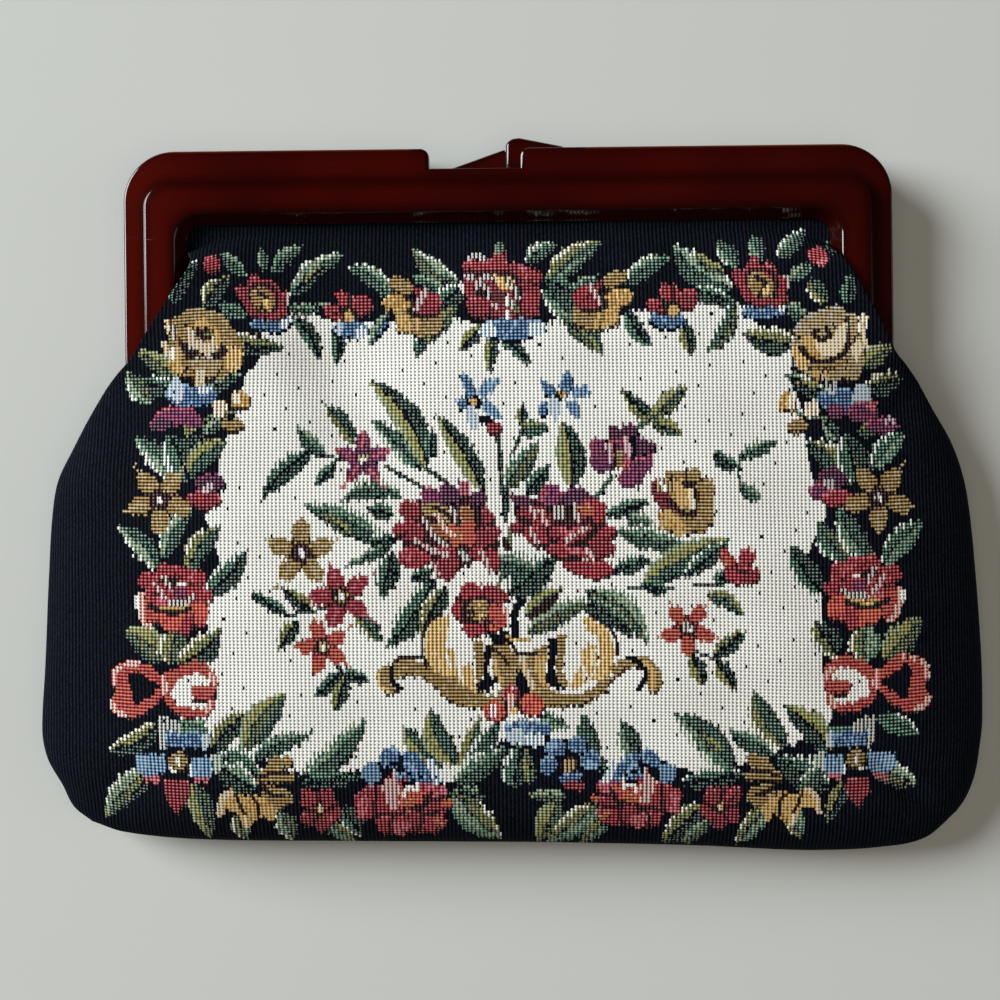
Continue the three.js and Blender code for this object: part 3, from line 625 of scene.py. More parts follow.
# Leaves: base x, y, tip x, y, half width, bow, yarn of the upper or left half, yarn of the other half
garlandLeaves = [
    (172, 304, 198, 261, 8.5, 0.1, "green", "deep"), (203, 308, 230, 277, 9, 0.1, "olive", "deep"),
    (217, 305, 248, 317, 6, 0, "green", "mint"), (246, 276, 219, 252, 6, 0, "mint", "green"),
    (264, 270, 262, 249, 5, 0, "mint", "green"), (273, 273, 303, 246, 7, 0.1, "mint", "green"),
    (290, 296, 344, 253, 9, 0.08, "pale", "green"), (296, 290, 330, 262, 4, 0, "olive", "deep"),
    (286, 307, 328, 303, 5, -0.1, "mint", "green"), (291, 315, 320, 364, 7, -0.1, "green", "deep"),
    (334, 326, 335, 368, 6, -0.1, "green", "deep"), (228, 334, 286, 346, 9, -0.1, "olive", "deep"),
    (208, 395, 243, 375, 6, 0.1, "mint", "green"), (176, 382, 136, 352, 9, 0.1, "lime", "olive"),
    (152, 403, 126, 371, 9, 0.05, "pale", "olive"), (176, 392, 140, 378, 8.5, 0, "green", "deep"),
    (393, 298, 346, 266, 9, 0.1, "mint", "green"), (458, 281, 411, 246, 9, -0.1, "pale", "olive"),
    (446, 291, 412, 277, 6, 0, "mint", "green"), (466, 284, 416, 358, 13, 0.1, "green", "deep"),
    (456, 305, 428, 344, 6, 0, "olive", "olive"), (390, 312, 369, 344, 6, 0, "mint", "blue"),
    (490, 326, 459, 353, 7, 0.1, "olive", "deep"), (493, 328, 490, 374, 6, 0, "olive", "deep"),
    (500, 332, 531, 365, 6, 0, "green", "deep"), (504, 258, 496, 241, 5, 0, "mint", "green"),
    (526, 263, 557, 245, 8, 0.1, "mint", "green"), (546, 286, 604, 241, 11, 0.08, "olive", "green"),
    (556, 282, 594, 252, 4, 0, "pale", "green"), (543, 280, 578, 293, 7, 0, "green", "deep"),
    (571, 291, 598, 276, 6, 0, "mint", "green"), (542, 291, 604, 357, 12, -0.06, "mint", "green"),
    (562, 318, 600, 352, 6, 0, "olive", "olive"), (626, 286, 671, 257, 9, 0.1, "mint", "green"),
    (732, 288, 672, 244, 13, -0.08, "pale", "green"), (726, 272, 694, 250, 5, -0.1, "lime", "olive"),
    (692, 290, 738, 304, 8, 0, "green", "deep"), (626, 308, 654, 346, 7, 0.1, "green", "deep"),
    (684, 320, 692, 358, 7, 0, "olive", "deep"), (733, 303, 707, 353, 9, -0.1, "green", "olive"),
    (738, 266, 716, 241, 8, 0, "mint", "green"), (761, 260, 752, 233, 7, 0, "mint", "green"),
    (778, 257, 806, 230, 8, 0, "mint", "green"), (790, 280, 812, 264, 6, 0, "pale", "mint"),
    (826, 250, 838, 244, 6, 0, "green", "deep"), (808, 278, 828, 304, 8, 0, "olive", "green"),
    (784, 304, 811, 321, 7, 0, "mint", "green"), (799, 342, 742, 332, 12, -0.08, "olive", "deep"),
    (848, 306, 850, 274, 7, 0, "green", "deep"), (832, 398, 784, 374, 8, 0, "mint", "deep"),
    (862, 366, 893, 345, 9, 0, "lime", "olive"), (866, 388, 904, 378, 10, 0, "olive", "deep"),
    (824, 392, 797, 384, 6, 0, "olive", "deep"), (168, 478, 134, 437, 10, -0.1, "pale", "green"),
    (190, 482, 168, 432, 14, 0, "green", "deep"), (188, 474, 228, 441, 10, 0.1, "lime", "green"),
    (184, 440, 206, 424, 9, 0, "olive", "deep"), (206, 436, 220, 418, 6, 0, "pale", "green"),
    (158, 570, 118, 526, 10, -0.08, "pale", "green"), (164, 560, 193, 508, 9, 0.1, "pale", "green"),
    (188, 572, 220, 526, 11, 0.1, "olive", "green"), (204, 596, 247, 550, 11, -0.05, "green", "deep"),
    (164, 662, 124, 630, 13, 0.1, "lime", "olive"), (170, 664, 176, 626, 13, 0, "olive", "olive"),
    (178, 664, 220, 628, 13, -0.1, "olive", "deep"), (158, 724, 106, 751, 10, -0.1, "olive", "deep"),
    (174, 728, 206, 724, 8, 0, "mint", "green"), (152, 770, 105, 818, 12, 0.08, "pale", "olive"),
    (150, 774, 128, 800, 5, 0, "olive", "deep"), (192, 782, 211, 838, 10, 0, "lime", "olive"),
    (200, 786, 210, 826, 5, 0, "deep", "olive"), (212, 750, 253, 711, 11, 0.08, "olive", "deep"),
    (244, 754, 286, 693, 12, 0.1, "lime", "olive"), (262, 742, 285, 700, 4, 0, "deep", "green"),
    (250, 760, 314, 734, 9, 0.06, "mint", "green"), (214, 756, 264, 778, 15, 0, "green", "deep"),
    (256, 790, 214, 764, 11, 0, "mint", "deep"), (298, 782, 342, 745, 9, 0, "green", "deep"),
    (236, 814, 246, 840, 8, 0, "olive", "pale"), (280, 812, 294, 840, 9, 0, "pale", "olive"),
    (308, 775, 366, 719, 12, -0.05, "mint", "green"), (300, 782, 362, 778, 7, 0, "green", "deep"),
    (340, 806, 362, 836, 9, 0, "green", "deep"), (324, 822, 356, 842, 6, 0, "olive", "pale"),
    (442, 768, 403, 725, 10, 0.08, "lime", "green"), (456, 766, 430, 709, 12, 0.1, "lime", "green"),
    (460, 774, 480, 716, 7, 0, "lime", "olive"), (464, 776, 500, 722, 10, 0, "green", "green"),
    (454, 784, 508, 748, 11, 0, "mint", "green"), (512, 788, 522, 744, 13, 0, "green", "deep"),
    (532, 786, 526, 748, 5, 0, "lime", "olive"), (452, 790, 502, 838, 13, -0.06, "olive", "pale"),
    (454, 792, 486, 800, 8, 0, "deep", "olive"), (560, 802, 538, 842, 12, 0, "lime", "olive"),
    (566, 796, 528, 796, 6, 0, "pale", "olive"), (540, 716, 570, 729, 8, 0, "green", "pale"),
    (598, 768, 584, 712, 11, 0.08, "green", "green"), (606, 776, 592, 748, 6, 0, "deep", "green"),
    (637, 764, 621, 721, 10, 0, "mint", "green"), (734, 774, 674, 713, 14, -0.06, "mint", "green"),
    (724, 756, 698, 734, 5, 0, "lime", "olive"), (774, 754, 728, 730, 10, 0, "mint", "green"),
    (786, 748, 753, 689, 12, 0.08, "olive", "green"), (832, 754, 784, 706, 12, 0.08, "lime", "deep"),
    (680, 784, 744, 774, 9, 0, "green", "deep"), (830, 790, 776, 756, 14, 0, "green", "deep"),
    (800, 790, 826, 764, 8, 0, "mint", "green"), (600, 806, 548, 842, 11, 0, "olive", "pale"),
    (610, 818, 580, 844, 6, 0, "olive", "pale"), (704, 804, 662, 844, 11, 0, "olive", "deep"),
    (712, 820, 682, 844, 6, 0, "pale", "olive"), (768, 806, 736, 844, 9, 0, "olive", "pale"),
    (790, 806, 800, 838, 9, 0, "olive", "pale"), (848, 776, 826, 824, 7, 0, "olive", "deep"),
    (872, 756, 918, 784, 11, -0.08, "pale", "olive"), (878, 716, 920, 734, 9, 0, "green", "mint"),
    (838, 656, 814, 622, 12, 0, "olive", "deep"), (864, 662, 866, 622, 14, 0, "olive", "pale"),
    (884, 660, 922, 618, 13, 0, "lime", "olive"), (826, 596, 790, 544, 11, 0.06, "green", "deep"),
    (850, 562, 816, 520, 11, 0.06, "green", "olive"), (872, 562, 838, 506, 11, 0.06, "mint", "green"),
    (884, 564, 924, 520, 11, 0.06, "green", "pale"), (852, 484, 806, 439, 11, 0.06, "olive", "green"),
    (858, 484, 846, 432, 14, 0, "green", "deep"), (872, 470, 906, 432, 10, 0.06, "green", "pale"),
    (838, 440, 824, 420, 7, 0, "pale", "green"), (858, 434, 880, 428, 7, 0, "olive", "green"),
]
bouquetLeaves = [
    (421, 472, 371, 419, 9, -0.03, "mint", "green"), (428, 468, 368, 379, 12, -0.1, "lime", "deep"),
    (354, 444, 324, 404, 8, -0.06, "olive", "green"), (327, 456, 296, 426, 7, -0.06, "mint", "green"),
    (312, 450, 261, 499, 10, 0.06, "green", "deep"), (337, 462, 314, 486, 6, 0, "green", "deep"),
    (431, 460, 432, 428, 6, 0, "green", "deep"), (484, 492, 436, 414, 10, -0.03, "lime", "deep"),
    (402, 496, 340, 502, 9, 0.16, "mint", "green"), (394, 516, 366, 508, 7, 0, "green", "deep"),
    (384, 544, 303, 505, 12, 0.06, "mint", "green"), (352, 536, 322, 514, 5, 0, "lime", "olive"),
    (398, 538, 366, 544, 8, 0, "green", "deep"), (518, 432, 550, 428, 9, 0.1, "olive", "green"),
    (520, 424, 524, 404, 5, 0, "olive", "deep"), (572, 488, 562, 420, 13, -0.06, "lime", "deep"),
    (505, 490, 540, 442, 11, 0.04, "mint", "olive"), (526, 494, 550, 464, 8, 0, "green", "deep"),
    (652, 422, 621, 390, 8, 0, "olive", "deep"), (650, 420, 687, 385, 8, 0, "lime", "olive"),
    (650, 420, 684, 434, 7, 0, "lime", "olive"), (606, 516, 652, 500, 7, 0, "green", "deep"),
    (626, 516, 656, 528, 7, 0, "mint", "green"), (614, 530, 692, 548, 10, 0, "mint", "green"),
    (612, 572, 652, 558, 8, 0, "green", "deep"), (642, 586, 730, 538, 13, 0.04, "lime", "green"),
    (686, 576, 730, 540, 8, 0, "green", "deep"), (705, 594, 744, 614, 7, 0.08, "olive", "green"),
    (586, 590, 648, 644, 13, 0.14, "pale", "olive"), (572, 602, 634, 638, 9, 0.1, "deep", "deep"),
    (527, 634, 592, 602, 12, 0.08, "pale", "olive"), (526, 618, 564, 588, 9, 0.06, "lime", "brown"),
    (508, 596, 556, 556, 15, 0, "green", "deep"), (492, 560, 540, 570, 12, 0, "mint", "green"),
    (288, 616, 249, 592, 6, 0, "green", "deep"), (312, 612, 280, 587, 7, 0, "olive", "deep"),
    (297, 620, 278, 651, 8, 0, "olive", "deep"), (356, 612, 382, 643, 8, 0, "olive", "green"),
    (392, 552, 381, 599, 11, 0, "green", "deep"), (392, 546, 344, 568, 5, 0, "mint", "green"),
    (434, 578, 384, 649, 13, -0.06, "green", "deep"), (446, 586, 420, 632, 10, 0, "olive", "deep"),
    (432, 570, 410, 580, 8, 0, "green", "deep"), (342, 672, 315, 697, 7, 0, "green", "deep"),
    (346, 676, 334, 714, 7, 0, "olive", "deep"), (344, 672, 369, 682, 6, 0, "green", "deep"),
    (714, 656, 746, 631, 8, 0, "olive", "deep"), (692, 654, 705, 687, 7, 0, "olive", "deep"),
    (716, 660, 738, 692, 7, 0, "olive", "deep"), (716, 584, 728, 572, 7, 0, "green", "deep"),
    (668, 592, 640, 584, 6, 0, "green", "deep"), (740, 456, 778, 441, 8, 0, "mint", "green"),
    (740, 486, 762, 501, 7, 0, "mint", "green"), (738, 470, 712, 452, 8, 0, "green", "deep"),
]

# Shadow and lit yarn of a petal; lit, dark and dashed yarn of a leaf's half
petalEdges = {
    "crimson": ("wine", "pink"), "red": ("wine", "pink"), "coral": ("wine", "orange"),
    "gold": ("brown", "straw"), "straw": ("brown", "white"), "magenta": ("plum", "pink"),
    "plum": ("night", "magenta"), "blue": ("night", "sky"), "orange": ("wine", "straw"),
}
leafShades = {
    "pale": ("pale", "mint", "white"), "mint": ("pale", "green", "white"),
    "green": ("mint", "deep", "white"), "deep": ("green", "deep", "pale"),
    "olive": ("lime", "deep", "white"), "lime": ("lime", "olive", "pale"),
    "blue": ("sky", "night", "white"), "brown": ("olive", "brown", "gold"),
}

stitching = {  # chart units
    "raggedAcross": 1.6, "raggedDown": 3.8,  # how far a stitch strays from the drawn edge
    "margin": 3, "fineLine": 3.2, "lineSteps": 24,
    "discShadow": (0.6, 2.2), "shadowGrow": 0.8, "shadowFrom": 5,
    "discLit": (1.6, 3), "discLitShare": 0.75, "litFrom": 6,
    "outlineShadow": (0.6, 2), "outlineLit": (1.4, 2.6), "outlineLitShare": 0.5, "outlineMargin": 5,
}
leafForm = {
    "tipward": 0.85, "fullness": 0.8, "spread": 1.2, "wave": 0.1, "waveRate": 0.75,
    "veinRate": 0.9, "veinPitch": 6.5, "veinWide": 2.4, "veinFrom": 1.5,
    "litFrom": 0.66, "darkFrom": 0.7, "dashFrom": 7, "ribWide": 1.2, "ribEnd": 0.85,
}
starForm = {
    "points": 5, "outline": ((0, 0.56), (0.42, 0.5), (0.6, 0.36), (0.82, 0.22), (1, 0.02)),
    "ridge": 5, "ridgeFrom": 0.35, "seam": 6, "seamEnd": 0.5,  # degrees, share of the reach
    "ring": 0.3, "eye": 0.2, "middle": 0.1,
}
fleckTint = {  # share of the yarn's colour and what is added to it, plain and between bars
    "share": 0.65, "add": 0.34, "barredShare": 0.8, "barredAdd": 0.06,
    "barredReach": 1.9, "barredStrength": 0.86, "barredMix": 0.24,
}


def scatter(a, b, salt):
    # the same chance from 0 to 1 each time for the same stitch
    return np.sin(a * 12.9898 + b * 78.233 + salt * 37.719) * 43758.5453 % 1


def linear(value):
    # scene colour of an sRGB value
    return ((value / 255 + 0.055) / 1.055) ** 2.4


class Chart:
    # the cloth's stitches as a flat list of places, each with the numbers of its yarn and of its bars' yarn

    def __init__(self, across, down):
        self.shape = across.shape
        row, column = (part.ravel() for part in np.indices(across.shape))
        self.exact = across.ravel(), down.ravel()
        strayAcross = stitching["raggedAcross"] * (scatter(row, column // 2, 1) - 0.5)
        strayDown = stitching["raggedDown"] * (scatter(column, row // 3, 2) - 0.5)
        self.ragged = self.exact[0] + strayAcross, self.exact[1] + strayDown
        self.x, self.y = self.ragged
        self.yarn = np.zeros(self.x.shape, int)
        self.barred = np.full(self.x.shape, -1)
        self.chance = scatter(row, column, 3)
        self.columnOdd = (column % 2).astype(bool)

    def near(self, x, y, reach):
        return np.nonzero((np.abs(self.x - x) < reach) & (np.abs(self.y - y) < reach))[0]

    def around(self, stops, more):
        # places near a run of points
        middle, reach = (stops.max(0) + stops.min(0)) / 2, (stops.max(0) - stops.min(0)).max() / 2
        return self.near(*middle, reach + more)

    def lay(self, places, yarn, dash=None, bar=None):
        # dash: every second column in another yarn; bar: fine rows of another yarn between its flecks
        self.yarn[places] = yarnNumber[yarn]
        self.barred[places] = yarnNumber[bar] if bar else -1
        if yarn in mixedIn:
            other, share = mixedIn[yarn]
            self.yarn[places[self.chance[places] < share]] = yarnNumber[other]
        if dash:
            self.yarn[places[self.columnOdd[places]]] = yarnNumber[dash]

    def inDisc(self, places, x, y, wide, high):
        return ((self.x[places] - x) / wide) ** 2 + ((self.y[places] - y) / high) ** 2 < 1

    def disc(self, x, y, wide, high, yarn, dash=None, bar=None):
        # a round with a shadow below it and a lit upper edge
        shadow, lit = petalEdges.get(yarn, (None, None)) if not dash else (None, None)
        places = self.near(x, y, max(wide, high) + stitching["margin"])
        if shadow and min(wide, high) > stitching["shadowFrom"]:
            (aside, below), more = stitching["discShadow"], stitching["shadowGrow"]
            around = self.near(x + aside, y + below, max(wide, high) + more + stitching["margin"])
            self.lay(around[self.inDisc(around, x + aside, y + below, wide + more, high + more)], shadow)
        inside = self.inDisc(places, x, y, wide, high)
        self.lay(places[inside], yarn, dash, bar)
        if lit and min(wide, high) > stitching["litFrom"]:
            aside, below = stitching["discLit"]
            edge = inside & ~self.inDisc(places, x + aside, y + below, wide, high)
            self.lay(places[edge & (self.chance[places] < stitching["discLitShare"])], lit, bar=bar)

    def leaf(self, baseX, baseY, tipX, tipY, wide, bow, upper, lower):
        form = leafForm
        length = math.hypot(tipX - baseX, tipY - baseY)
        reach = length / 2 + wide * 2 + stitching["margin"]
        places = self.near((baseX + tipX) / 2, (baseY + tipY) / 2, reach)
        c, s = (tipX - baseX) / length, (tipY - baseY) / length
        p, q = self.x[places] - baseX, self.y[places] - baseY
        t = (p * c + q * s) / length
        side = 1 if (s - c) < 0 else -1
        t0 = np.clip(t, 0, 1)
        d = side * (p * s - q * c) - bow * length * 4 * t0 * (1 - t0)
        half = wide * np.sin(math.pi * t0 ** form["tipward"]) ** form["fullness"]
        half = half * (form["spread"] + form["wave"] * np.sin(t0 * length * form["waveRate"]))
        inside = (t > 0) & (t < 1) & (np.abs(d) < half)
        lit, shaded = leafShades[upper][0], leafShades[lower][1]
        dashed = leafShades[upper][2] if wide > form["dashFrom"] else None
        self.lay(places[inside & (d >= 0)], upper)
        self.lay(places[inside & (d < 0)], lower)
        veinAt = (t0 * length * form["veinRate"] + np.abs(d) * form["veinRate"]) % form["veinPitch"]
        vein = inside & (veinAt < form["veinWide"])
        self.lay(places[vein & (d > form["veinFrom"])], lit)
        self.lay(places[vein & (d < -form["veinFrom"])], shaded)
        self.lay(places[inside & (d > half * form["litFrom"])], lit, dash=dashed)
        self.lay(places[inside & (d < -half * form["darkFrom"])], shaded)
        rib = inside & (np.abs(d) < form["ribWide"]) & (t < form["ribEnd"])
        self.lay(places[rib], "night" if lower == "deep" else "deep")

    def stroke(self, wide, yarn, stops, dash=None, bar=None):
        self.x, self.y = self.exact if wide < stitching["fineLine"] else self.ragged
        stops = np.array(stops, float)
        t = np.linspace(0, len(stops) - 1, stitching["lineSteps"] * len(stops))
        knots = np.arange(len(stops))
        line = np.stack([along(list(zip(knots, stops[:, k])), t) for k in (0, 1)], -1)
        places = self.around(line, wide + stitching["margin"])
        gap = np.hypot(self.x[places, None] - line[:, 0], self.y[places, None] - line[:, 1]).min(1)
        self.lay(places[gap < wide], yarn, dash, bar)
        self.x, self.y = self.ragged

    def within(self, places, stops):
        x, y = self.x[places], self.y[places]
        inside = np.zeros(len(places), bool)
        for (ax, ay), (bx, by) in zip(stops, np.roll(stops, -1, 0)):
            if ay != by:
                inside ^= ((ay > y) != (by > y)) & (x < (bx - ax) * (y - ay) / (by - ay) + ax)
        return inside

    def fill(self, yarn, stops, dash=None, bar=None):
        # a closed outline with a shadow below it and a lit upper edge
        stops = np.array(stops, float)
        places = self.around(stops, stitching["outlineMargin"])
        shadow, lit = petalEdges.get(yarn, (None, None)) if not dash else (None, None)
        if shadow:
            self.lay(places[self.within(places, stops + stitching["outlineShadow"])], shadow)
        inside = self.within(places, stops)
        self.lay(places[inside], yarn, dash, bar)
        if lit:
            edge = inside & ~self.within(places, stops + stitching["outlineLit"])
            self.lay(places[edge & (self.chance[places] < stitching["outlineLitShare"])], lit, bar=bar)

    def star(self, x, y, reach, turn, yarn, seam, eye, bar):
        form = starForm
        places = self.near(x, y, reach + 2)
        p, q = self.x[places] - x, y - self.y[places]
        share = 360 / form["points"]
        off = np.abs((np.degrees(np.arctan2(q, p)) - turn + share / 2) % share - share / 2)
        rho = np.hypot(p, q) / reach
        at, wide = zip(*form["outline"])
        inside = off < np.interp(rho, at, [share * part for part in wide])
        self.lay(places[inside], yarn, bar=bar)
        ridge = inside & (off < form["ridge"]) & (rho > form["ridgeFrom"])
        self.lay(places[ridge], petalEdges[yarn][1], bar=bar)
        self.lay(places[inside & (rho < form["seamEnd"]) & (off > share * 0.5 - form["seam"])], seam)
        self.lay(places[rho < form["ring"]], seam)
        self.lay(places[rho < form["eye"]], eye, dash="brown")
        self.lay(places[rho < form["middle"]], "white")

    def draw(self, rows, x=0, y=0, scale=1, side=1):
        # rows of a drawing, set at a place; side -1 mirrors it
        for row in rows:
            wide, (named, *rest) = (None, row) if isinstance(row[0], str) else (row[0], row[1:])
            yarn, *way = named.split()
            way = {way[0]: way[1]} if way else {}
            if rest[0] == "disc":
                dx, dy, halfWide, halfHigh = rest[1:]
                centre = x + side * dx * scale, y + dy * scale
                self.disc(*centre, halfWide * scale, halfHigh * scale, yarn, **way)
                continue
            stops = [(x + side * dx * scale, y + dy * scale) for dx, dy in zip(rest[::2], rest[1::2])]
            if wide:
                self.stroke(wide * scale, yarn, stops, **way)
            else:
                self.fill(yarn, stops, **way)

    def colours(self):
        # each stitch's colour with the strength of its fleck, and the fleck's colour with its sideways reach
        tint = fleckTint
        table = np.array([[linear(c) for c in colour] + [fleck] for colour, fleck in yarns.values()])
        base, bar = table[self.yarn], table[self.barred]
        inBars = (self.barred >= 0)[:, None]
        root, one = np.sqrt(base[:, :3]), np.ones((len(base), 1))
        plain = np.concatenate([tint["share"] * root + tint["add"], one], -1)
        reach = one * tint["barredReach"]
        between = np.concatenate([tint["barredShare"] * root + tint["barredAdd"], reach], -1)
        mixed = tint["barredMix"] * base[:, :3] + (1 - tint["barredMix"]) * bar[:, :3]
        mixed = np.concatenate([mixed, one * tint["barredStrength"]], -1)
        ground, fleck = np.where(inBars, mixed, base), np.where(inBars, between, plain)
        return ground.reshape(self.shape + (4,)), fleck.reshape(self.shape + (4,))


# Drawings, in chart units: an outline is its yarn and its places x, y; a line has its half width first;
# a round is its yarn, disc, middle x, y, half width and half height. A yarn may be dashed or barred
# with another.
stems = [
    (1.6, "deep", 302, 452, 340, 459), (2.2, "deep", 387, 467, 424, 488), (2.6, "deep", 420, 464, 446, 482),
    (2.8, "deep", 498, 428, 500, 460, 506, 520), (2.2, "deep", 520, 436, 508, 470, 507, 510),
    (2.6, "green", 636, 428, 652, 420), (2.6, "green", 611, 478, 594, 500),
    (1.8, "deep", 284, 616, 326, 609), (1.6, "deep", 628, 588, 716, 586), (1.8, "deep", 690, 650, 722, 662),
    (1.8, "deep", 336, 664, 344, 674), (2.4, "olive", 488, 606, 506, 566, 510, 530),
    (1.5, "deep", 742, 486, 738, 470, 742, 456), (3, "brown", 524, 600, 516, 570, 504, 540),
    (2, "olive", 788, 402, 800, 414, 826, 418), (2, "olive", 246, 402, 232, 412, 206, 418),
]
sideRose = [
    ("red", "disc", 2, -2, 31, 31),
    ("red", -37, -18, -34, -24, -27, -26, -20, -24, -19, -16, -22, -10, -28, -9, -34, -12),
    ("red", -27, -13, -19, -15, -16, -6, -24, -4),
    ("red", -17, -32, -10, -36, -2, -34, 2, -28, 0, -21, -8, -17, -16, -19),
    ("red", -3, -33, 6, -32, 10, -27, 6, -22, -2, -25),
    ("red", 12, -23, 18, -27, 26, -29, 31, -24, 31, -17, 26, -13, 18, -12, 13, -16),
    ("pink", 12, -22, 19, -26, 22, -18, 18, -13, 13, -16),
    ("red", 23, -10, 31, -11, 38, -6, 38, 2, 31, 5, 23, 2),
    ("coral", 19, 5, 30, 5, 35, 10, 34, 22, 29, 28, 20, 28, 17, 18),
    ("coral bar red", -32, 1, -25, -1, -22, 8, -16, 14, -16, 22, -24, 26, -30, 22, -33, 12),
    ("coral", -18, 15, -9, 17, 4, 18, 16, 14, 19, 22, 16, 30, 4, 33, -8, 33, -14, 26),
    ("red", 8, 17, 18, 14, 19, 27, 14, 36, 7, 36, 4, 32),
    ("magenta", -1, -10, 10, -10, 11, -2, 2, 0, -3, -4),
    ("pink", -19, -2, -11, 0, -2, 4, -2, 8, -12, 9, -18, 4), ("pink", -10, -18, -4, -14, -2, -6, -8, -8),
    ("brown", -8, -21, -2, -20, 6, -17, 7, -13, 0, -11, -6, -15),
    (2.6, "brown", -24, 8, -14, 13, 1, 15, 16, 11), (2, "gold", -13, 9, -2, 11, 9, 9, 16, 5),
    (2.4, "white dash crimson", -19, -14, -14, -6, -9, 1), (2.4, "white dash wine", -10, -21, -4, -10),
    (1.6, "white", 4, -13, 10, -13), (3, "white dash brown", -2, 5, 9, 5, 20, -1),
    (3, "white dash coral", -34, -3, -34, 8, -32, 20), (2.4, "white", -38, 0, -38, 8),
    (2.4, "white dash coral", -31, 24, -24, 29),
]
topRose = [
    ("crimson", 464, 263, 470, 260, 482, 261, 492, 259, 494, 255, 500, 251, 506, 254, 508, 261, 516, 263,
     522, 264, 528, 268, 536, 270, 542, 273, 542, 281, 538, 286, 540, 292, 540, 300, 538, 306, 540, 312,
     534, 316, 505, 316, 476, 317, 468, 311, 466, 303, 467, 296, 462, 290, 463, 281, 466, 275, 462, 268),
    ("red", 464, 263, 471, 261, 482, 262, 490, 264, 492, 270, 484, 272, 474, 271, 466, 269),
    ("red", 493, 262, 499, 256, 507, 259, 507, 268, 500, 275, 494, 270),
    ("pink", 518, 264, 524, 266, 528, 274, 526, 280, 520, 274),
    ("red", 529, 271, 536, 270, 540, 273, 540, 281, 534, 282, 529, 278),
    ("crimson", 470, 297, 482, 299, 490, 304, 490, 314, 476, 315, 469, 309),
    ("red", 521, 293, 530, 291, 539, 297, 538, 310, 528, 311, 521, 305),
    (2.4, "wine", 466, 273, 478, 274, 492, 273, 510, 273, 520, 282),
    (2.2, "wine", 520, 288, 520, 300, 518, 314),
    ("gold dash straw", 494, 275, 505, 275, 514, 278, 515, 284, 508, 290, 500, 289, 496, 283),
    ("brown", 511, 276, 519, 280, 522, 290, 518, 288),
    ("brown", 474, 289, 480, 287, 485, 294, 484, 300, 478, 298),
    ("brown bar crimson", 490, 292, 500, 290, 507, 293, 508, 302, 500, 305, 491, 302),
    ("olive", 512, 302, 518, 302, 519, 310, 513, 311),
    (3, "white dash night", 469, 257, 476, 255, 484, 258), (2.4, "white dash wine", 466, 276, 474, 277),
    (2.6, "white dash wine", 476, 289, 480, 281, 486, 276, 494, 279), (1.8, "white", 461, 283, 463, 291),
    (2.6, "white dash night", 485, 285, 489, 296), (2.6, "white dash brown", 507, 280, 513, 287, 518, 297),
    (1.8, "white", 507, 295, 508, 304), (2, "white dash crimson", 491, 305, 498, 307),
    (1.8, "white", 507, 311, 508, 319), (1.8, "white dash brown", 511, 302, 513, 309),
]
bottomRose = [
    ("red", -30, -22, 0, -28, 34, -22, 42, 0, 36, 20, 10, 24, -20, 22, -34, 6),
    ("red", -51, -10, -46, -15, -38, -20, -30, -21, -28, -12, -30, -2, -28, 6, -34, 10, -42, 13, -48, 8,
     -47, -2), ("pink", -46, -10, -38, -14, -36, -4, -38, 8, -46, 10),
    ("crimson", -28, -2, -18, 0, -8, 6, -16, 10, -26, 8),
    ("pink", 20, -21, 32, -23, 42, -21, 44, -16, 36, -11, 26, -11),
    ("coral bar orange", 38, -8, 48, -9, 50, -4, 44, 0, 38, -2),
    ("crimson", 24, -9, 36, -10, 39, -2, 34, 4, 22, 4, 20, -2),
    ("red", 20, 7, 28, 4, 38, 10, 43, 12, 42, 18, 34, 24, 24, 23, 18, 16),
    ("orange bar red", 28, 10, 40, 12, 42, 17, 33, 20),
    ("red", -27, 10, -18, 7, -12, 12, -12, 22, -20, 26, -27, 20),
    ("crimson", -4, 4, 8, 4, 18, 6, 16, 20, 6, 20, -2, 12),
    ("pink", -14, 14, -6, 12, 4, 14, 6, 22, -2, 29, -10, 26),
    ("coral", -8, -14, 0, -16, 10, -15, 22, -18, 26, -12, 20, -5, 10, 0, 0, 4, -6, -2),
    ("orange bar red", -2, -8, 10, -10, 14, -5, 4, 2, -2, 0),
    ("white dash red", -23, -24, -14, -30, -12, -38, -9, -38, -8, -26, -4, -22, -6, -10, -4, 0, -10, 4,
     -16, 0, -20, -11), ("night", -3, -27, 11, -27, 11, -20, -2, -20),
    (2, "white", 0, -11, 1, -18, 7, -20, 13, -17, 14, -25), (2, "brown", 27, -14, 22, -4, 14, 4),
    (2, "brown", 34, 4, 28, 6, 20, 6), (2, "wine", -28, -20, -29, -4, -30, 8),
    (2, "wine", -28, 9, -16, 6, -4, 7), (2, "wine", -11, 8, -14, 17, -12, 26),
    (2, "wine", 18, 5, 18, 15, 14, 24), (2, "wine", 20, -10, 30, -8, 41, -11),
]
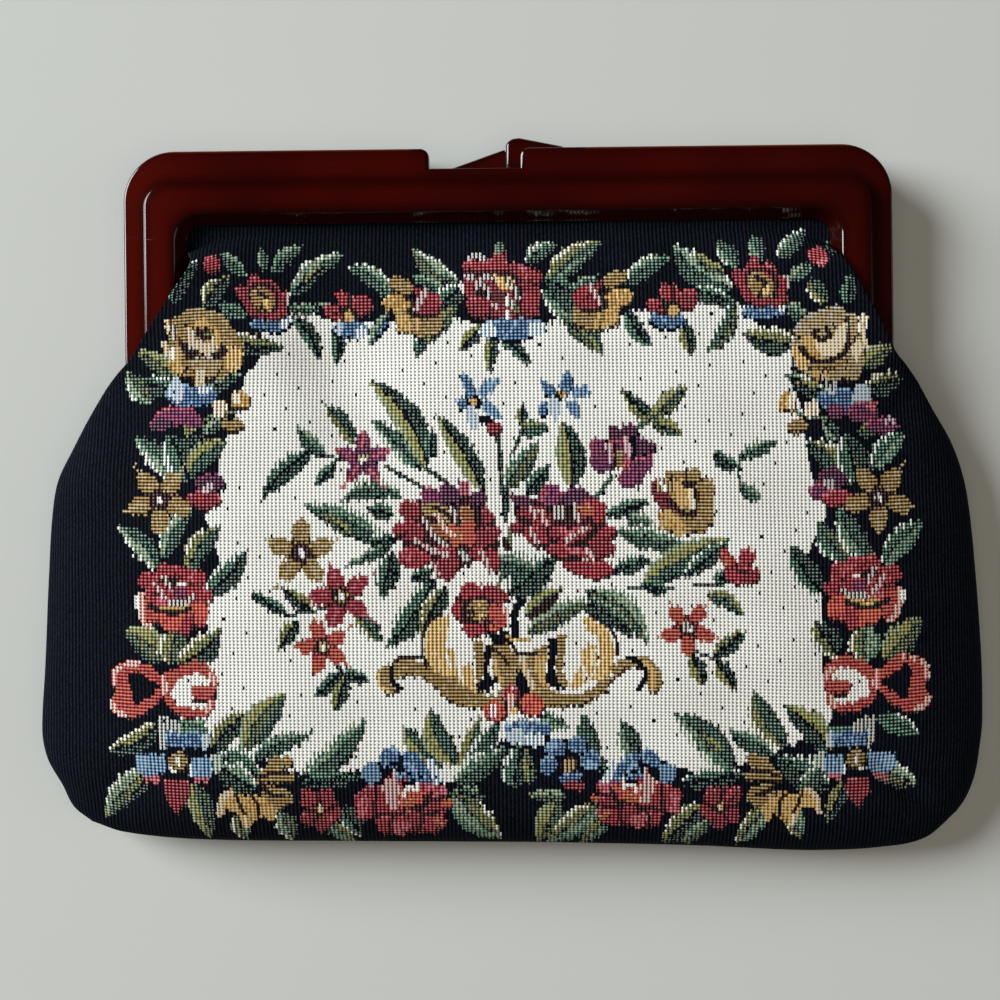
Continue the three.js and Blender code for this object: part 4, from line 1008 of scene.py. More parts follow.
bouquetRose = [
    ("wine", 421, 498, 440, 492, 470, 495, 490, 508, 498, 528, 498, 552, 480, 560, 456, 572, 430, 560, 404,
     556, 400, 536, 406, 512),
    ("magenta", 421, 489, 428, 486, 438, 488, 442, 495, 443, 503, 432, 502, 421, 505),
    ("plum", 440, 490, 443, 485, 450, 483, 457, 488, 461, 495, 460, 503, 450, 505, 443, 502),
    ("magenta dash pink", 458, 481, 468, 480, 470, 488, 468, 497, 461, 496, 458, 490),
    ("plum", 470, 493, 480, 491, 487, 495, 488, 500, 480, 505, 471, 502),
    ("crimson", 398, 503, 404, 500, 412, 500, 420, 504, 420, 515, 417, 520, 406, 519, 399, 511),
    ("crimson", 391, 530, 397, 523, 408, 521, 420, 523, 424, 531, 425, 538, 420, 543, 410, 543, 402, 538,
     393, 534), ("red", 392, 529, 397, 524, 406, 523, 408, 531, 400, 535),
    ("red", 398, 553, 403, 548, 412, 547, 422, 551, 430, 556, 434, 559, 428, 563, 420, 567, 408, 567, 400,
     562), ("pink", 400, 553, 404, 549, 412, 551, 412, 559, 404, 561),
    ("crimson", 437, 560, 446, 556, 456, 555, 459, 560, 458, 570, 452, 578, 444, 580, 436, 575, 432, 568),
    ("red", 431, 549, 438, 545, 447, 545, 456, 549, 456, 552, 446, 554, 437, 553),
    ("crimson", 481, 509, 488, 508, 494, 511, 496, 517, 490, 522, 485, 525, 480, 518),
    ("crimson", 475, 530, 484, 527, 498, 527, 501, 531, 499, 538, 492, 543, 482, 545, 474, 542),
    ("red", 466, 547, 476, 545, 485, 549, 494, 551, 500, 556, 500, 566, 496, 573, 488, 566, 480, 560, 470,
     556),
    ("gold bar brown", 421, 506, 432, 504, 444, 505, 452, 507, 458, 515, 456, 528, 446, 522, 436, 517, 424,
     515), ("orange bar wine", 429, 524, 436, 522, 444, 529, 450, 538, 446, 541, 437, 537, 431, 530),
    ("orange bar red", 447, 524, 455, 522, 460, 528, 460, 544, 452, 545, 448, 536),
    ("orange bar wine", 460, 505, 474, 506, 476, 520, 475, 540, 470, 549, 461, 545, 460, 530, 461, 515),
    ("coral bar red", 462, 522, 474, 520, 475, 540, 470, 548, 462, 544),
    ("brown", 474, 507, 481, 507, 482, 518, 480, 530, 475, 524),
    ("brown", 420, 547, 430, 549, 440, 554, 434, 558, 424, 553),
    ("brown", 480, 547, 492, 545, 501, 541, 501, 546, 492, 550), (2, "brown", 434, 508, 444, 512, 452, 520),
    (3, "white dash wine", 423, 518, 428, 527, 436, 538, 446, 546),
    (2.6, "white dash orange", 436, 514, 441, 521, 447, 531, 453, 535),
    (2.4, "white dash wine", 451, 508, 456, 520),
    (2.6, "white dash crimson", 415, 541, 428, 548, 438, 553, 448, 555),
    (2.6, "white dash crimson", 432, 563, 437, 573),
    (2.6, "white dash crimson", 481, 552, 486, 562, 490, 572), (3, "white dash green", 461, 552, 467, 560),
]
bouquetRoseRight = [
    ("wine", 514, 500, 540, 496, 575, 492, 598, 502, 606, 524, 610, 548, 596, 560, 560, 558, 536, 548, 516,
     528), ("plum", 510, 497, 518, 495, 530, 497, 536, 502, 532, 507, 524, 509, 514, 506),
    ("crimson", 519, 506, 530, 507, 532, 513, 526, 520, 520, 513),
    ("magenta", 538, 495, 543, 487, 550, 484, 558, 486, 562, 492, 561, 501, 552, 504, 543, 503, 538, 500),
    ("pink dash magenta", 539, 494, 544, 488, 550, 486, 548, 494, 542, 500),
    ("plum", 563, 492, 570, 488, 580, 487, 590, 491, 594, 497, 592, 504, 580, 507, 570, 505, 563, 501),
    ("red", 586, 500, 598, 498, 606, 504, 606, 514, 602, 521, 592, 522, 582, 519, 578, 512, 580, 505),
    ("orange bar red", 579, 506, 588, 503, 594, 508, 592, 517, 583, 517),
    ("crimson", 508, 525, 514, 520, 521, 521, 523, 528, 518, 534, 511, 532),
    ("crimson", 527, 507, 536, 505, 546, 506, 552, 512, 551, 524, 545, 532, 534, 528, 528, 518),
    ("red", 524, 529, 534, 526, 545, 533, 551, 541, 540, 546, 530, 542, 523, 535),
    ("red", 550, 530, 560, 526, 572, 527, 584, 525, 592, 526, 588, 534, 578, 541, 566, 543, 556, 541, 550,
     537), ("pink", 560, 529, 572, 529, 582, 528, 574, 535, 564, 539),
    ("crimson", 592, 529, 606, 526, 617, 527, 617, 535, 611, 541, 616, 548, 613, 554, 604, 556, 596, 557,
     590, 549, 588, 541), ("red", 602, 528, 616, 528, 616, 534, 606, 538),
    ("red", 547, 545, 558, 542, 568, 545, 574, 552, 566, 558, 554, 556, 547, 551),
    ("pink", 566, 549, 578, 547, 590, 550, 590, 556, 578, 556, 568, 553),
    ("red", 557, 558, 566, 557, 576, 560, 590, 561, 602, 560, 612, 563, 614, 571, 606, 577, 594, 580, 584,
     576, 572, 572, 563, 566), ("white dash brown", 552, 505, 562, 505, 565, 519, 558, 522, 552, 515),
    ("brown", 545, 503, 552, 505, 552, 515, 547, 512), ("brown", 565, 505, 573, 507, 575, 520, 567, 522),
    (2.4, "white dash crimson", 531, 507, 536, 519), (2.6, "white dash red", 540, 510, 547, 525),
    (2.4, "white dash crimson", 575, 506, 578, 522), (2.6, "white dash crimson", 530, 528, 537, 543),
    (2.4, "white dash crimson", 566, 541, 576, 534, 588, 527),
    (3, "brown", 574, 545, 587, 540, 595, 530, 592, 524), (2, "brown", 552, 557, 566, 559, 582, 558),
    (2, "brown", 538, 548, 548, 544, 558, 540), (2.2, "white dash pink", 588, 551, 592, 556),
]
yellowRose = [
    ("gold bar brown", -34, -20, -20, -31, 0, -33, 18, -26, 30, -10, 40, 6, 38, 28, 22, 38, 4, 44, -16, 40,
     -32, 30, -40, 12),
    ("gold bar brown", -22, -25, -13, -33, -5, -30, -1, -23, 9, -25, 11, -17, 7, -9, -5, -13, -17, -11,
     -23, -17), ("straw dash gold", -15, -17, -5, -21, 3, -21, 4, -12, -9, -11),
    ("white dash straw", -42, -22, -36, -22, -35, -6, -41, -7),
    (2.4, "gold dash brown", -36, -18, -30, -6, -27, 6), (2, "white dash brown", -34, -12, -31, 1),
    ("straw dash gold", -38, 12, -27, 8, -20, 18, -15, 33, -25, 38, -33, 34, -38, 25),
    ("gold bar brown", -26, 12, -20, 17, -16, 30, -22, 32, -26, 20),
    ("gold bar wine", 14, -8, 27, -9, 29, 6, 17, 8, 13, 1),
    ("gold dash straw", 23, 8, 38, 8, 40, 19, 35, 31, 27, 34, 18, 30, 21, 17),
    ("brown", -27, 0, -16, 8, -6, 15, 8, 15, 22, 6, 24, 14, 14, 22, -4, 25, -18, 20, -26, 10),
    ("straw bar brown", -15, 21, 0, 18, 13, 19, 16, 29, 9, 40, -1, 42, -9, 36, -15, 29),
    ("gold bar brown", -24, -8, -16, -10, -14, 6, -20, 6),
    ("white dash gold", -16, 1, 1, 3, 11, -2, 14, 6, 5, 16, -7, 14, -16, 9),
    (3, "white dash gold", -16, -10, -13, 6), (2.4, "straw dash gold", 8, -12, 13, -4, 14, 6),
    ("brown", -10, -8, -1, -11, 8, -7, 7, -1, -2, 2, -9, -2), (2, "olive", 0, -6, 5, -5),
    (3, "white dash gold", -43, 4, -38, 16), (1.8, "white", -33, 10, -33, 21),
    (2.4, "white dash gold", -9, 32, -8, 48), (2, "white dash straw", -3, 33, -2, 46),
]
yellowRoseRight = [
    ("straw bar brown", 796, 324, 812, 312, 834, 306, 850, 312, 863, 322, 865, 346, 862, 372, 846, 380,
     818, 380, 796, 368, 790, 346),
    ("straw bar brown", 811, 316, 816, 313, 822, 313, 828, 318, 830, 326, 822, 330, 813, 328),
    ("straw bar brown", 829, 312, 834, 306, 840, 305, 845, 311, 846, 318, 840, 326, 831, 324),
    ("straw bar wine", 793, 330, 800, 326, 812, 328, 812, 334, 800, 337),
    ("straw bar brown", 848, 322, 856, 318, 858, 330, 853, 344, 848, 338),
    ("gold dash straw", 791, 346, 798, 348, 806, 358, 813, 364, 808, 371, 798, 369, 793, 358),
    ("straw dash gold", 810, 366, 822, 364, 829, 369, 829, 378, 818, 381, 812, 376),
    ("straw bar brown", 838, 362, 850, 358, 858, 362, 862, 370, 858, 379, 846, 379, 838, 372),
    ("gold bar brown", 806, 362, 824, 364, 842, 361, 850, 356, 846, 366, 824, 369, 810, 368),
    ("straw dash white", 856, 318, 862, 314, 868, 316, 868, 326, 862, 332, 856, 326),
    ("white dash straw", 852, 346, 860, 338, 864, 350, 858, 360, 852, 356),
    ("straw dash gold", 802, 336, 812, 335, 818, 344, 824, 356, 812, 359, 804, 350),
    ("white dash straw", 814, 337, 822, 343, 832, 336, 840, 326, 847, 320, 847, 342, 838, 355, 824, 357,
     816, 348), (2.6, "brown", 813, 333, 821, 340, 830, 335, 827, 328),
    (2.8, "brown", 801, 347, 809, 357, 822, 362, 834, 359, 844, 353, 849, 343),
    (1.6, "brown", 847, 316, 849, 328, 848, 340), (2.2, "white dash straw", 861, 324, 864, 335),
    (2.2, "white dash straw", 864, 337, 868, 348), (2.6, "white dash night", 822, 377, 832, 389),
]
goldHalf = [
    ("gold bar brown", -22, -26, -11, -28, -1, -22, 2, -14, -8, -9, -21, -16),
    ("gold", -31, -3, -21, -10, -8, -9, 2, -2, -8, 7, -24, 6),
    ("gold bar brown", -17, 8, -1, 6, 11, 13, 31, 8, 31, 26, 19, 31, 9, 33, -1, 28, -14, 27),
    ("straw dash gold", -16, 9, -4, 8, 2, 28, -12, 26),
    ("crimson", 1, -19, 11, -15, 24, -11, 31, -4, 30, 6, 21, 12, 11, 13, 4, 6, 6, -4),
    ("red", 14, -12, 24, -9, 30, -2, 28, 5, 18, 2), (3, "white dash crimson", 14, -13, 8, -3, 3, 6),
    (2.2, "brown", -6, -8, 2, 0, -2, 8, 11, 12, 22, 12), (2, "straw dash gold", 6, 16, 7, 28),
]
blueEye = [
    ("white dash deep", -19, -40, -8, -40, -8, -24, -10, -7, -16, -10),
    ("white dash deep", -6, -37, 4, -34, 4, -20, -6, -22), ("mint", 4, -30, 32, -30, 29, -22, 6, -23),
    ("blue", -11, -26, 2, -23, 9, -26, 29, -24, 28, -10, 12, -8, -9, -10),
    ("white dash sky", 26, -25, 34, -24, 32, -6, 26, -5), ("pink", -34, 18, -15, 18, -17, 26, -31, 26),
    ("pink", 17, 18, 33, 18, 31, 25, 19, 25), ("blue dash sky", -39, -2, -9, -4, -9, 15, -30, 21, -40, 12),
    ("blue dash sky", 12, 0, 37, 1, 37, 12, 34, 20, 12, 20), ("sky", -40, 0, -28, -2, -30, 18, -40, 12),
    ("white dash mint", 34, -2, 47, -3, 45, 14, 36, 16), (2, "sky dash white", 14, 4, 16, 18),
    ("crimson", -12, 23, 13, 23, 13, 36, 9, 46, 0, 56, -8, 46, -12, 36),
    (2.2, "night", -14, 21, 0, 20, 14, 22), ("night", "disc", 2, 4, 13, 13),
    ("gold bar brown", "disc", 2, 4, 10, 10), (1.6, "white", 1, 0, 2, 7), (1.6, "white", -6, 12, -2, 15),
]
goldSpray = [
    ("gold bar brown", 13, -33, 36, -33, 36, -25, 25, -22, 38, -14, 38, -8, 0, -8, 2, -17, 11, -25),
    ("gold bar brown", 11, -6, 33, 0, 36, 11, 22, 22, 8, 14, 5, 3), (2, "brown", 4, -12, 16, -16, 30, -16),
    (2, "brown", 6, -6, 14, 4, 26, 6),
    ("straw dash gold", -36, 25, -34, 6, -23, 0, -12, 6, 0, 3, 11, 11, 22, 22, 13, 36, 8, 25, 0, 31, -12,
     39, -20, 22, -28, 19), (3, "white dash gold", -37, 24, -34, 8, -26, 2),
    (1.8, "brown", -20, 6, -16, 16, -12, 24), (1.8, "brown", -4, 6, 2, 16, 2, 26),
    (2, "white dash straw", -12, 28, -10, 36),
]
crimsonTop = [
    ("crimson", -28, -12, -18, -11, -13, -21, -6, -24, -4, -15, 5, -19, 11, -14, 16, -4, 25, -2, 21, 9, 25,
     19, 13, 23, 3, 21, -4, 23, -12, 19, -18, 16, -23, 4, -29, -4),
    ("red", -12, -18, -6, -22, -2, -12, 6, -15, 14, -4, 22, 0, 18, 8, 22, 18, 12, 18, 10, 0, -10, -8),
    (2.4, "wine", -14, 2, -12, -9, 2, -11, 13, 0, 11, 15),
    ("gold bar wine", -12, -8, 3, -7, 11, 2, 8, 14, -6, 15, -14, 4), (2, "brown", -6, -4, 2, 2, -2, 11),
    ("straw", "disc", 3, 8, 4, 4), (2.2, "white dash crimson", 22, -4, 23, 6),
]
smallRed = [
    ("red", -22, 2, -16, 0, -8, -2, -11, -10, -5, -14, 4, -12, 8, -8, 16, -10, 25, -6, 26, 2, 21, 10, 9,
     12, -11, 14, -21, 10), ("crimson", 6, -6, 16, -8, 24, -4, 25, 3, 20, 9, 10, 10),
    (1.8, "brown", 3, -10, 4, 2, 0, 10), (1.6, "brown", -10, -1, -4, 4, -12, 10),
    ("brown", "disc", 3, 9, 9, 7), ("straw dash gold", "disc", 3, 12, 5, 6),
]
magentaBloom = [
    ("plum", -14, -27, -8, -30, -2, -26, 0, -30, 10, -31, 16, -27, 15, -17, -2, -14, -15, -16),
    ("magenta", -33, -13, -27, -18, -17, -15, -12, -8, -15, 0, -30, 0, -34, -7),
    ("magenta bar plum", -34, 2, -15, 0, -9, 7, -10, 15, -22, 18, -30, 13),
    ("plum", 13, -17, 23, -17, 35, -10, 31, -2, 15, 0, 10, -8),
    ("magenta", 11, 2, 31, 0, 32, 10, 25, 17, 18, 28, 5, 32, -5, 25, 1, 15),
    ("magenta", -12, -15, 5, -16, 11, -7, 5, 12, -5, 12, -12, 0),
    ("pink", -13, -14, -3, -15, -5, -4, -11, 2), ("pink", 2, 2, 10, 2, 8, 14, 1, 14),
    (2.4, "brown", -8, -9, -5, 3, -9, 14), (3, "gold bar brown", -3, -3, -2, 10),
    (3, "white dash magenta", -14, -9, -11, 5), (3, "white dash pink", 4, -16, 7, -1),
    (2.6, "night", 11, -17, 13, -5, 11, 3),
]
goldBloom = [
    ("gold bar brown", -22, -14, -10, -27, 18, -30, 34, -18, 36, 8, 30, 26, 10, 34, -10, 32, -20, 20, -16,
     4), ("gold bar brown", -12, -25, -8, -30, 2, -31, 7, -27, 9, -32, 20, -32, 24, -25, 22, -18, 5, -18),
    ("gold bar wine", 20, -19, 34, -20, 37, -10, 35, 7, 37, 17, 25, 23, 20, 7, 15, -7),
    ("crimson bar wine", -27, -18, -21, -22, -15, -20, -8, -7, -1, 7, -13, 12, -21, 3, -26, -7),
    ("straw dash gold", -20, 12, -8, 8, 0, 17, 9, 27, 7, 35, -1, 35, -8, 28, -18, 27),
    ("gold bar wine", 9, 15, 25, 7, 37, 13, 34, 22, 24, 33, 14, 32),
    ("wine", -15, -2, -1, 0, 9, 13, 19, 10, 20, 17, 9, 18, -5, 11),
    ("straw dash wine", -23, -17, -15, -20, -1, -22, 5, -17, 0, -7, -10, -7, -20, -8),
    ("straw dash gold", -6, -18, 4, -22, 9, -10, 12, 0, 9, 10, 0, 7, -3, -7),
    (2.4, "brown", 5, -16, 14, -14, 19, -4, 17, 8), (3, "white dash straw", 12, -9, 15, 7),
    (2, "brown", 2, 10, 10, 14, 18, 10), (1.6, "brown", 8, -31, 8, -20), (2, "white", -16, -16, -12, -11),
]
squareBloom = [
    ("crimson", -20, -20, -6, -21, -2, -15, 2, -21, 14, -20, 17, -8, 21, -2, 20, 9, 12, 11, 8, 21, -2, 22,
     -8, 14, -16, 16, -20, 6, -15, 0, -20, -8), ("red", -17, -18, -7, -18, -4, -8, -12, -6),
    ("red", 6, 8, 16, 4, 18, 8, 8, 18), (2, "wine", -2, -16, 0, -6), (2, "wine", -14, 0, -6, 1),
    (2, "wine", 6, 2, 17, -6), (2, "wine", -6, 12, -2, 6), ("brown", "disc", 0, 1, 5, 6),
    ("white dash gold", "disc", 0, 1, 3, 4),
]
blueHalf = [
    ("sky dash blue", -42, -2, -34, -6, -24, -4, -22, 4, -25, 16, -34, 18, -41, 13),
    ("blue", -24, -12, -20, -18, -12, -22, -5, -18, -4, -6, -8, 0, -20, 0, -24, -4),
    ("blue", -12, 2, 0, 4, 14, 8, 28, 8, 34, 16, 20, 18, 6, 16, -8, 14),
    ("blue", -4, -13, 4, -17, 12, -15, 20, -8, 26, 0, 26, 8, 14, 6, 0, 2, -5, -6),
    ("sky dash white", 23, -8, 30, -8, 33, 2, 37, 10, 43, 16, 32, 17, 26, 8),
    (2, "sky", 0, -4, 5, -3, 12, 5), (2.4, "night", -22, 4, -14, 8, -16, 16),
    (2, "night", -13, -4, -4, -2, -4, 4), (1.6, "night", -4, -12, -2, -4),
]
smallRose = [
    ("wine", 456, 596, 470, 586, 498, 590, 504, 606, 502, 628, 484, 632, 464, 628, 453, 612),
    ("red", 460, 589, 466, 584, 476, 583, 482, 586, 484, 593, 478, 598, 468, 600, 460, 597),
    ("crimson", 482, 585, 492, 584, 500, 588, 509, 595, 509, 600, 502, 604, 494, 601, 486, 597),
    ("red", 452, 605, 458, 601, 463, 605, 462, 618, 456, 619, 451, 614),
    ("coral bar red", 489, 606, 500, 603, 505, 612, 505, 624, 500, 631, 494, 624, 489, 616),
    ("red", 463, 624, 472, 622, 484, 623, 486, 630, 480, 636, 470, 637, 463, 632),
    ("coral", 488, 622, 498, 628, 496, 632, 488, 630),
    ("gold bar brown", 464, 604, 471, 600, 480, 599, 488, 603, 488, 616, 480, 623, 471, 621, 464, 616),
    (2.4, "brown", 471, 600, 464, 607, 465, 617, 473, 622), ("straw", "disc", 478, 604, 3, 2.4),
    ("brown", "disc", 472, 612, 4, 3), ("straw", "disc", 480, 616, 3.4, 2.4),
    (2.4, "white dash coral", 506, 609, 507, 623),
]
tulip = [
    ("red", -19, -17, -12, -18, -5, -9, -2, -4, 0, -15, 8, -19, 15, -14, 14, -5, 7, 0, 20, 2, 19, 10, 12,
     16, -3, 17, -12, 10, -18, -4), ("crimson", -2, -2, 8, 2, 20, 4, 18, 10, 11, 16, -2, 16),
    ("orange bar red", -16, -13, -9, -10, -7, 2, -14, -2), (1.8, "wine", -3, -4, -1, 4, 6, 5),
    (2, "white", 15, -2, 20, 0),
]
coralTop = [
    ("coral", "disc", -18, 6, 12, 10), ("coral", "disc", 18, 0, 13, 11), ("red", "disc", -2, -8, 8, 11),
    ("wine", "disc", 0, 2, 10, 8), ("pink dash white", "disc", -20, 6, 5, 6),
    ("white dash coral", "disc", -2, -4, 3, 12), ("straw", "disc", 1, 7, 4, 4),
]
blueStars = [
    ("blue", 461, 372, 468, 376, 475, 384, 478, 396, 472, 400, 465, 394, 462, 384),
    ("blue dash sky", 478, 392, 482, 382, 490, 378, 501, 378, 496, 388, 488, 396, 480, 399),
    ("blue", 455, 400, 464, 397, 471, 401, 470, 408, 460, 409),
    ("white dash sky", 464, 409, 473, 407, 479, 412, 478, 424, 473, 430, 467, 422),
    ("blue dash sky", 479, 401, 488, 400, 497, 406, 503, 416, 494, 418, 484, 412),
    ("night", "disc", 473, 402, 7, 6), ("straw dash gold", "disc", 473, 402, 5, 4),
    (1.8, "night", 476, 396, 480, 402, 479, 408),
    ("blue", 539, 378, 548, 381, 557, 388, 558, 396, 550, 398, 544, 394, 542, 386),
    ("blue", 559, 388, 561, 377, 566, 370, 572, 374, 573, 384, 569, 393, 562, 394),
    ("blue dash sky", 570, 390, 578, 385, 588, 387, 594, 392, 586, 398, 574, 400),
    ("white dash sky", 549, 398, 559, 397, 562, 404, 560, 416, 555, 420, 550, 411),
    ("sky dash blue", 565, 399, 574, 400, 580, 408, 581, 419, 574, 416, 567, 408),
    ("blue", 538, 404, 547, 401, 549, 408, 544, 417, 538, 415), ("night", "disc", 561, 395, 5, 4),
    ("gold", "disc", 562, 395, 3, 3),
]
bowLoops = [
    ("coral bar red", -1, 0, -3, -12, -14, -23, -27, -28, -37, -27, -47, -21, -52, -12, -52, -4, -48, 2,
     -51, 9, -54, 15, -51, 22, -44, 27, -34, 30, -22, 26, -12, 19, -2, 9),
    ("coral bar red", 0, -1, -4, -11, 4, -16, 18, -23, 31, -27, 43, -24, 51, -16, 53, -6, 51, 7, 50, 19,
     43, 28, 31, 30, 18, 29, 7, 22, -1, 10),
    ("night", -3, 0, -12, -6, -21, -14, -29, -17, -35, -14, -35, -5, -33, 7, -31, 16, -25, 17, -16, 9),
    ("white", 6, 7, 9, -3, 18, -10, 29, -14, 41, -12, 46, -6, 44, 19, 36, 21, 24, 20, 14, 16, 8, 12),
    ("coral bar red", 25, 0, 34, -3, 46, -2, 51, 2, 48, 10, 38, 12, 28, 9),
    (1.5, "brown", 28, 12, 34, 15, 42, 13), (3, "white dash coral", -50, -6, -50, -14, -45, -21),
    (3, "white dash coral", -37, -24, -26, -25), (3, "white dash coral", -52, 15, -48, 23, -40, 27),
    (3, "white dash coral", -1, -9, 1, 0, 0, 4), (3, "white dash coral", 45, -14, 50, -6),
    (3, "white dash coral", 46, 14, 42, 23),
]
scrolls = [
    ("gold bar brown", 402, 688, 390, 694, 380, 690, 376, 678, 379, 668, 392, 664, 400, 659, 414, 659, 426,
     665, 436, 670, 450, 676, 462, 680, 476, 686, 482, 694, 498, 696, 498, 706, 478, 707, 460, 705, 446,
     699, 434, 686, 422, 677, 408, 676, 396, 678, 390, 680, 390, 686, 396, 687),
    ("gold dash straw", 448, 616, 449, 626, 447, 636, 445, 646, 446, 656, 450, 670, 458, 678, 440, 676,
     428, 666, 424, 650, 426, 634, 432, 622, 440, 617),
    (1.6, "brown", 441, 614, 430, 621, 423, 635, 422, 652, 427, 667),
    (2.2, "night", 391, 668, 393, 682, 401, 689), (1.6, "brown", 393, 663, 404, 657, 418, 657, 428, 663),
    (1.6, "straw", 378, 674, 380, 686, 388, 691),
    ("gold dash straw", 445, 650, 450, 647, 456, 652, 455, 664, 458, 674, 464, 664, 472, 666, 475, 678,
     476, 692, 466, 688, 456, 680, 448, 672, 444, 660), (1.6, "white", 447, 655, 451, 669),
    (1.6, "white", 459, 670, 463, 680),
    ("gold bar brown", 474, 641, 482, 640, 484, 654, 484, 670, 478, 684, 476, 678, 475, 660),
    ("gold bar brown", 490, 642, 498, 638, 508, 642, 510, 650, 520, 652, 534, 652, 546, 644, 548, 654, 544,
     658, 542, 670, 544, 684, 554, 692, 568, 694, 590, 690, 606, 676, 616, 674, 606, 690, 590, 702, 570,
     706, 546, 706, 530, 698, 518, 690, 510, 702, 498, 705, 482, 706, 498, 694, 502, 684, 494, 674, 492,
     658),
    ("night", 485, 644, 492, 646, 491, 658, 488, 670, 492, 678, 498, 678, 496, 686, 486, 692, 478, 693,
     475, 686, 482, 682, 484, 670), (2.4, "straw dash gold", 495, 662, 497, 672, 501, 682),
    (1.8, "brown", 491, 648, 500, 654, 508, 664), (1.8, "brown", 512, 646, 520, 655, 536, 655),
    ("night", 518, 668, 524, 675, 529, 684, 531, 694, 524, 699, 517, 693, 516, 680),
    (3, "white dash gold", 522, 657, 526, 672, 533, 687),
    ("straw dash gold", 536, 656, 546, 654, 548, 660, 544, 674, 549, 685, 545, 690, 538, 681, 535, 668),
    ("night", 548, 638, 558, 637, 557, 650, 554, 668, 558, 678, 567, 684, 563, 690, 552, 688, 545, 679,
     547, 668, 549, 656),
    ("gold bar brown", 558, 636, 566, 634, 565, 650, 562, 670, 567, 678, 568, 688, 560, 684, 556, 674, 557,
     656), ("white", 566, 632, 580, 626, 587, 634, 585, 650, 582, 666, 574, 668, 570, 680, 564, 668),
    ("gold dash straw", 582, 620, 590, 618, 602, 624, 612, 636, 615, 652, 612, 670, 602, 680, 588, 682,
     594, 674, 600, 664, 600, 648, 596, 636, 586, 628),
    ("gold dash straw", 582, 650, 588, 644, 596, 646, 598, 658, 594, 670, 586, 682, 574, 689, 569, 686,
     576, 672, 582, 666), (1.6, "white", 592, 650, 593, 663), (1.6, "white", 584, 668, 586, 679),
    (1.6, "brown", 590, 616, 604, 623, 615, 637, 618, 654),
    ("gold bar brown", 610, 668, 622, 660, 632, 658, 646, 656, 656, 664, 663, 674, 662, 684, 656, 692, 648,
     694, 646, 686, 648, 678, 644, 668, 634, 666, 624, 670, 614, 676),
    (2.6, "night", 628, 657, 640, 663, 646, 673, 643, 684, 639, 689),
    (2.4, "straw dash gold", 645, 662, 653, 672, 653, 688),
    ("night", 486, 634, 500, 631, 510, 634, 518, 632, 523, 640, 508, 644, 494, 644),
    (4, "night", 521, 602, 514, 618, 516, 638), (1.6, "gold", 506, 636, 516, 640, 530, 639),
]
# Rounds under or beside the flowers
patches = [
    ("blue", "disc", 270, 323, 20, 8), ("sky dash white", "disc", 284, 320, 6, 8),
    ("blue", "disc", 350, 328, 18, 9), ("white dash sky", "disc", 338, 326, 5, 8),
    ("sky dash white", "disc", 362, 332, 6, 7), ("blue", "disc", 512, 328, 33, 11),
    ("sky dash white", "disc", 488, 330, 9, 8), ("sky dash white", "disc", 536, 330, 9, 8),
    ("blue", "disc", 668, 319, 19, 9), ("blue", "disc", 764, 311, 22, 7),
    ("sky dash white", "disc", 782, 304, 4, 9), ("red", "disc", 211, 263, 8, 8),
    ("red", "disc", 817, 255, 10, 8), ("pink", "disc", 822, 262, 6, 4), ("blue", "disc", 842, 399, 25, 11),
    ("white dash sky", "disc", 862, 394, 9, 12), ("white dash sky", "disc", 832, 386, 6, 9),
    ("magenta", "disc", 836, 410, 9, 6), ("magenta", "disc", 862, 411, 15, 10),
    ("magenta", "disc", 882, 424, 16, 7), ("pink", "disc", 872, 405, 6, 5),
    ("white dash magenta", "disc", 890, 420, 6, 4), ("blue", "disc", 191, 396, 26, 11),
    ("white dash sky", "disc", 176, 390, 8, 12), ("sky dash white", "disc", 204, 388, 7, 8),
    ("magenta", "disc", 177, 415, 22, 9), ("plum", "disc", 160, 424, 12, 7),
    ("magenta", "disc", 192, 420, 10, 6), ("gold", "disc", 787, 401, 9, 10),
    ("straw dash white", "disc", 791, 401, 4, 8), ("gold dash white", "disc", 812, 409, 8, 9),
    ("gold bar brown", "disc", 797, 425, 11, 7), ("gold", "disc", 240, 399, 10, 9),
    ("straw dash white", "disc", 236, 398, 4, 7), ("gold dash white", "disc", 220, 408, 8, 9),
    ("gold bar brown", "disc", 232, 424, 12, 6), ("plum", "disc", 210, 483, 15, 9),
    ("crimson", "disc", 203, 499, 18, 9), ("white dash plum", "disc", 208, 488, 6, 5),
    ("plum", "disc", 832, 478, 15, 11), ("magenta", "disc", 820, 490, 11, 8),
    ("red", "disc", 838, 497, 16, 8), ("white dash plum", "disc", 830, 484, 5, 5),
    ("night", "disc", 566, 760, 23, 19), ("blue", "disc", 555, 748, 11, 9),
    ("blue", "disc", 577, 745, 10, 9), ("blue", "disc", 590, 761, 10, 10), ("blue", "disc", 549, 765, 9, 9),
    ("blue", "disc", 571, 777, 11, 6), ("sky", "disc", 553, 745, 6, 4), ("sky", "disc", 591, 765, 6, 5),
    ("brown", "disc", 569, 765, 9, 9), ("straw dash brown", "disc", 569, 765, 7, 7),
    ("crimson", "disc", 574, 786, 10, 5), ("blue", "disc", 528, 729, 23, 9),
    ("white dash sky", "disc", 516, 737, 10, 8), ("sky dash white", "disc", 534, 740, 10, 7),
    ("crimson", "disc", 494, 427, 8, 6), ("night", "disc", 486, 420, 7, 5),
]
# Stars: x, y, reach, turn, yarn, seam yarn, eye yarn, barred with
stars = [
    (159, 500, 35, 54, "gold", "brown", "plum", "brown"),
    (879, 497, 36, 54, "gold", "brown", "plum", "brown"),
    (301, 553, 35, 18, "gold", "brown", "plum", "brown"),
    (363, 459, 28, 18, "magenta", "plum", "straw", None),
    (341, 597, 33, 36, "red", "brown", "straw", "crimson"),
    (323, 647, 28, 36, "coral", "wine", "straw", "red"),
    (688, 629, 29, 54, "coral", "wine", "white", "red"),
]
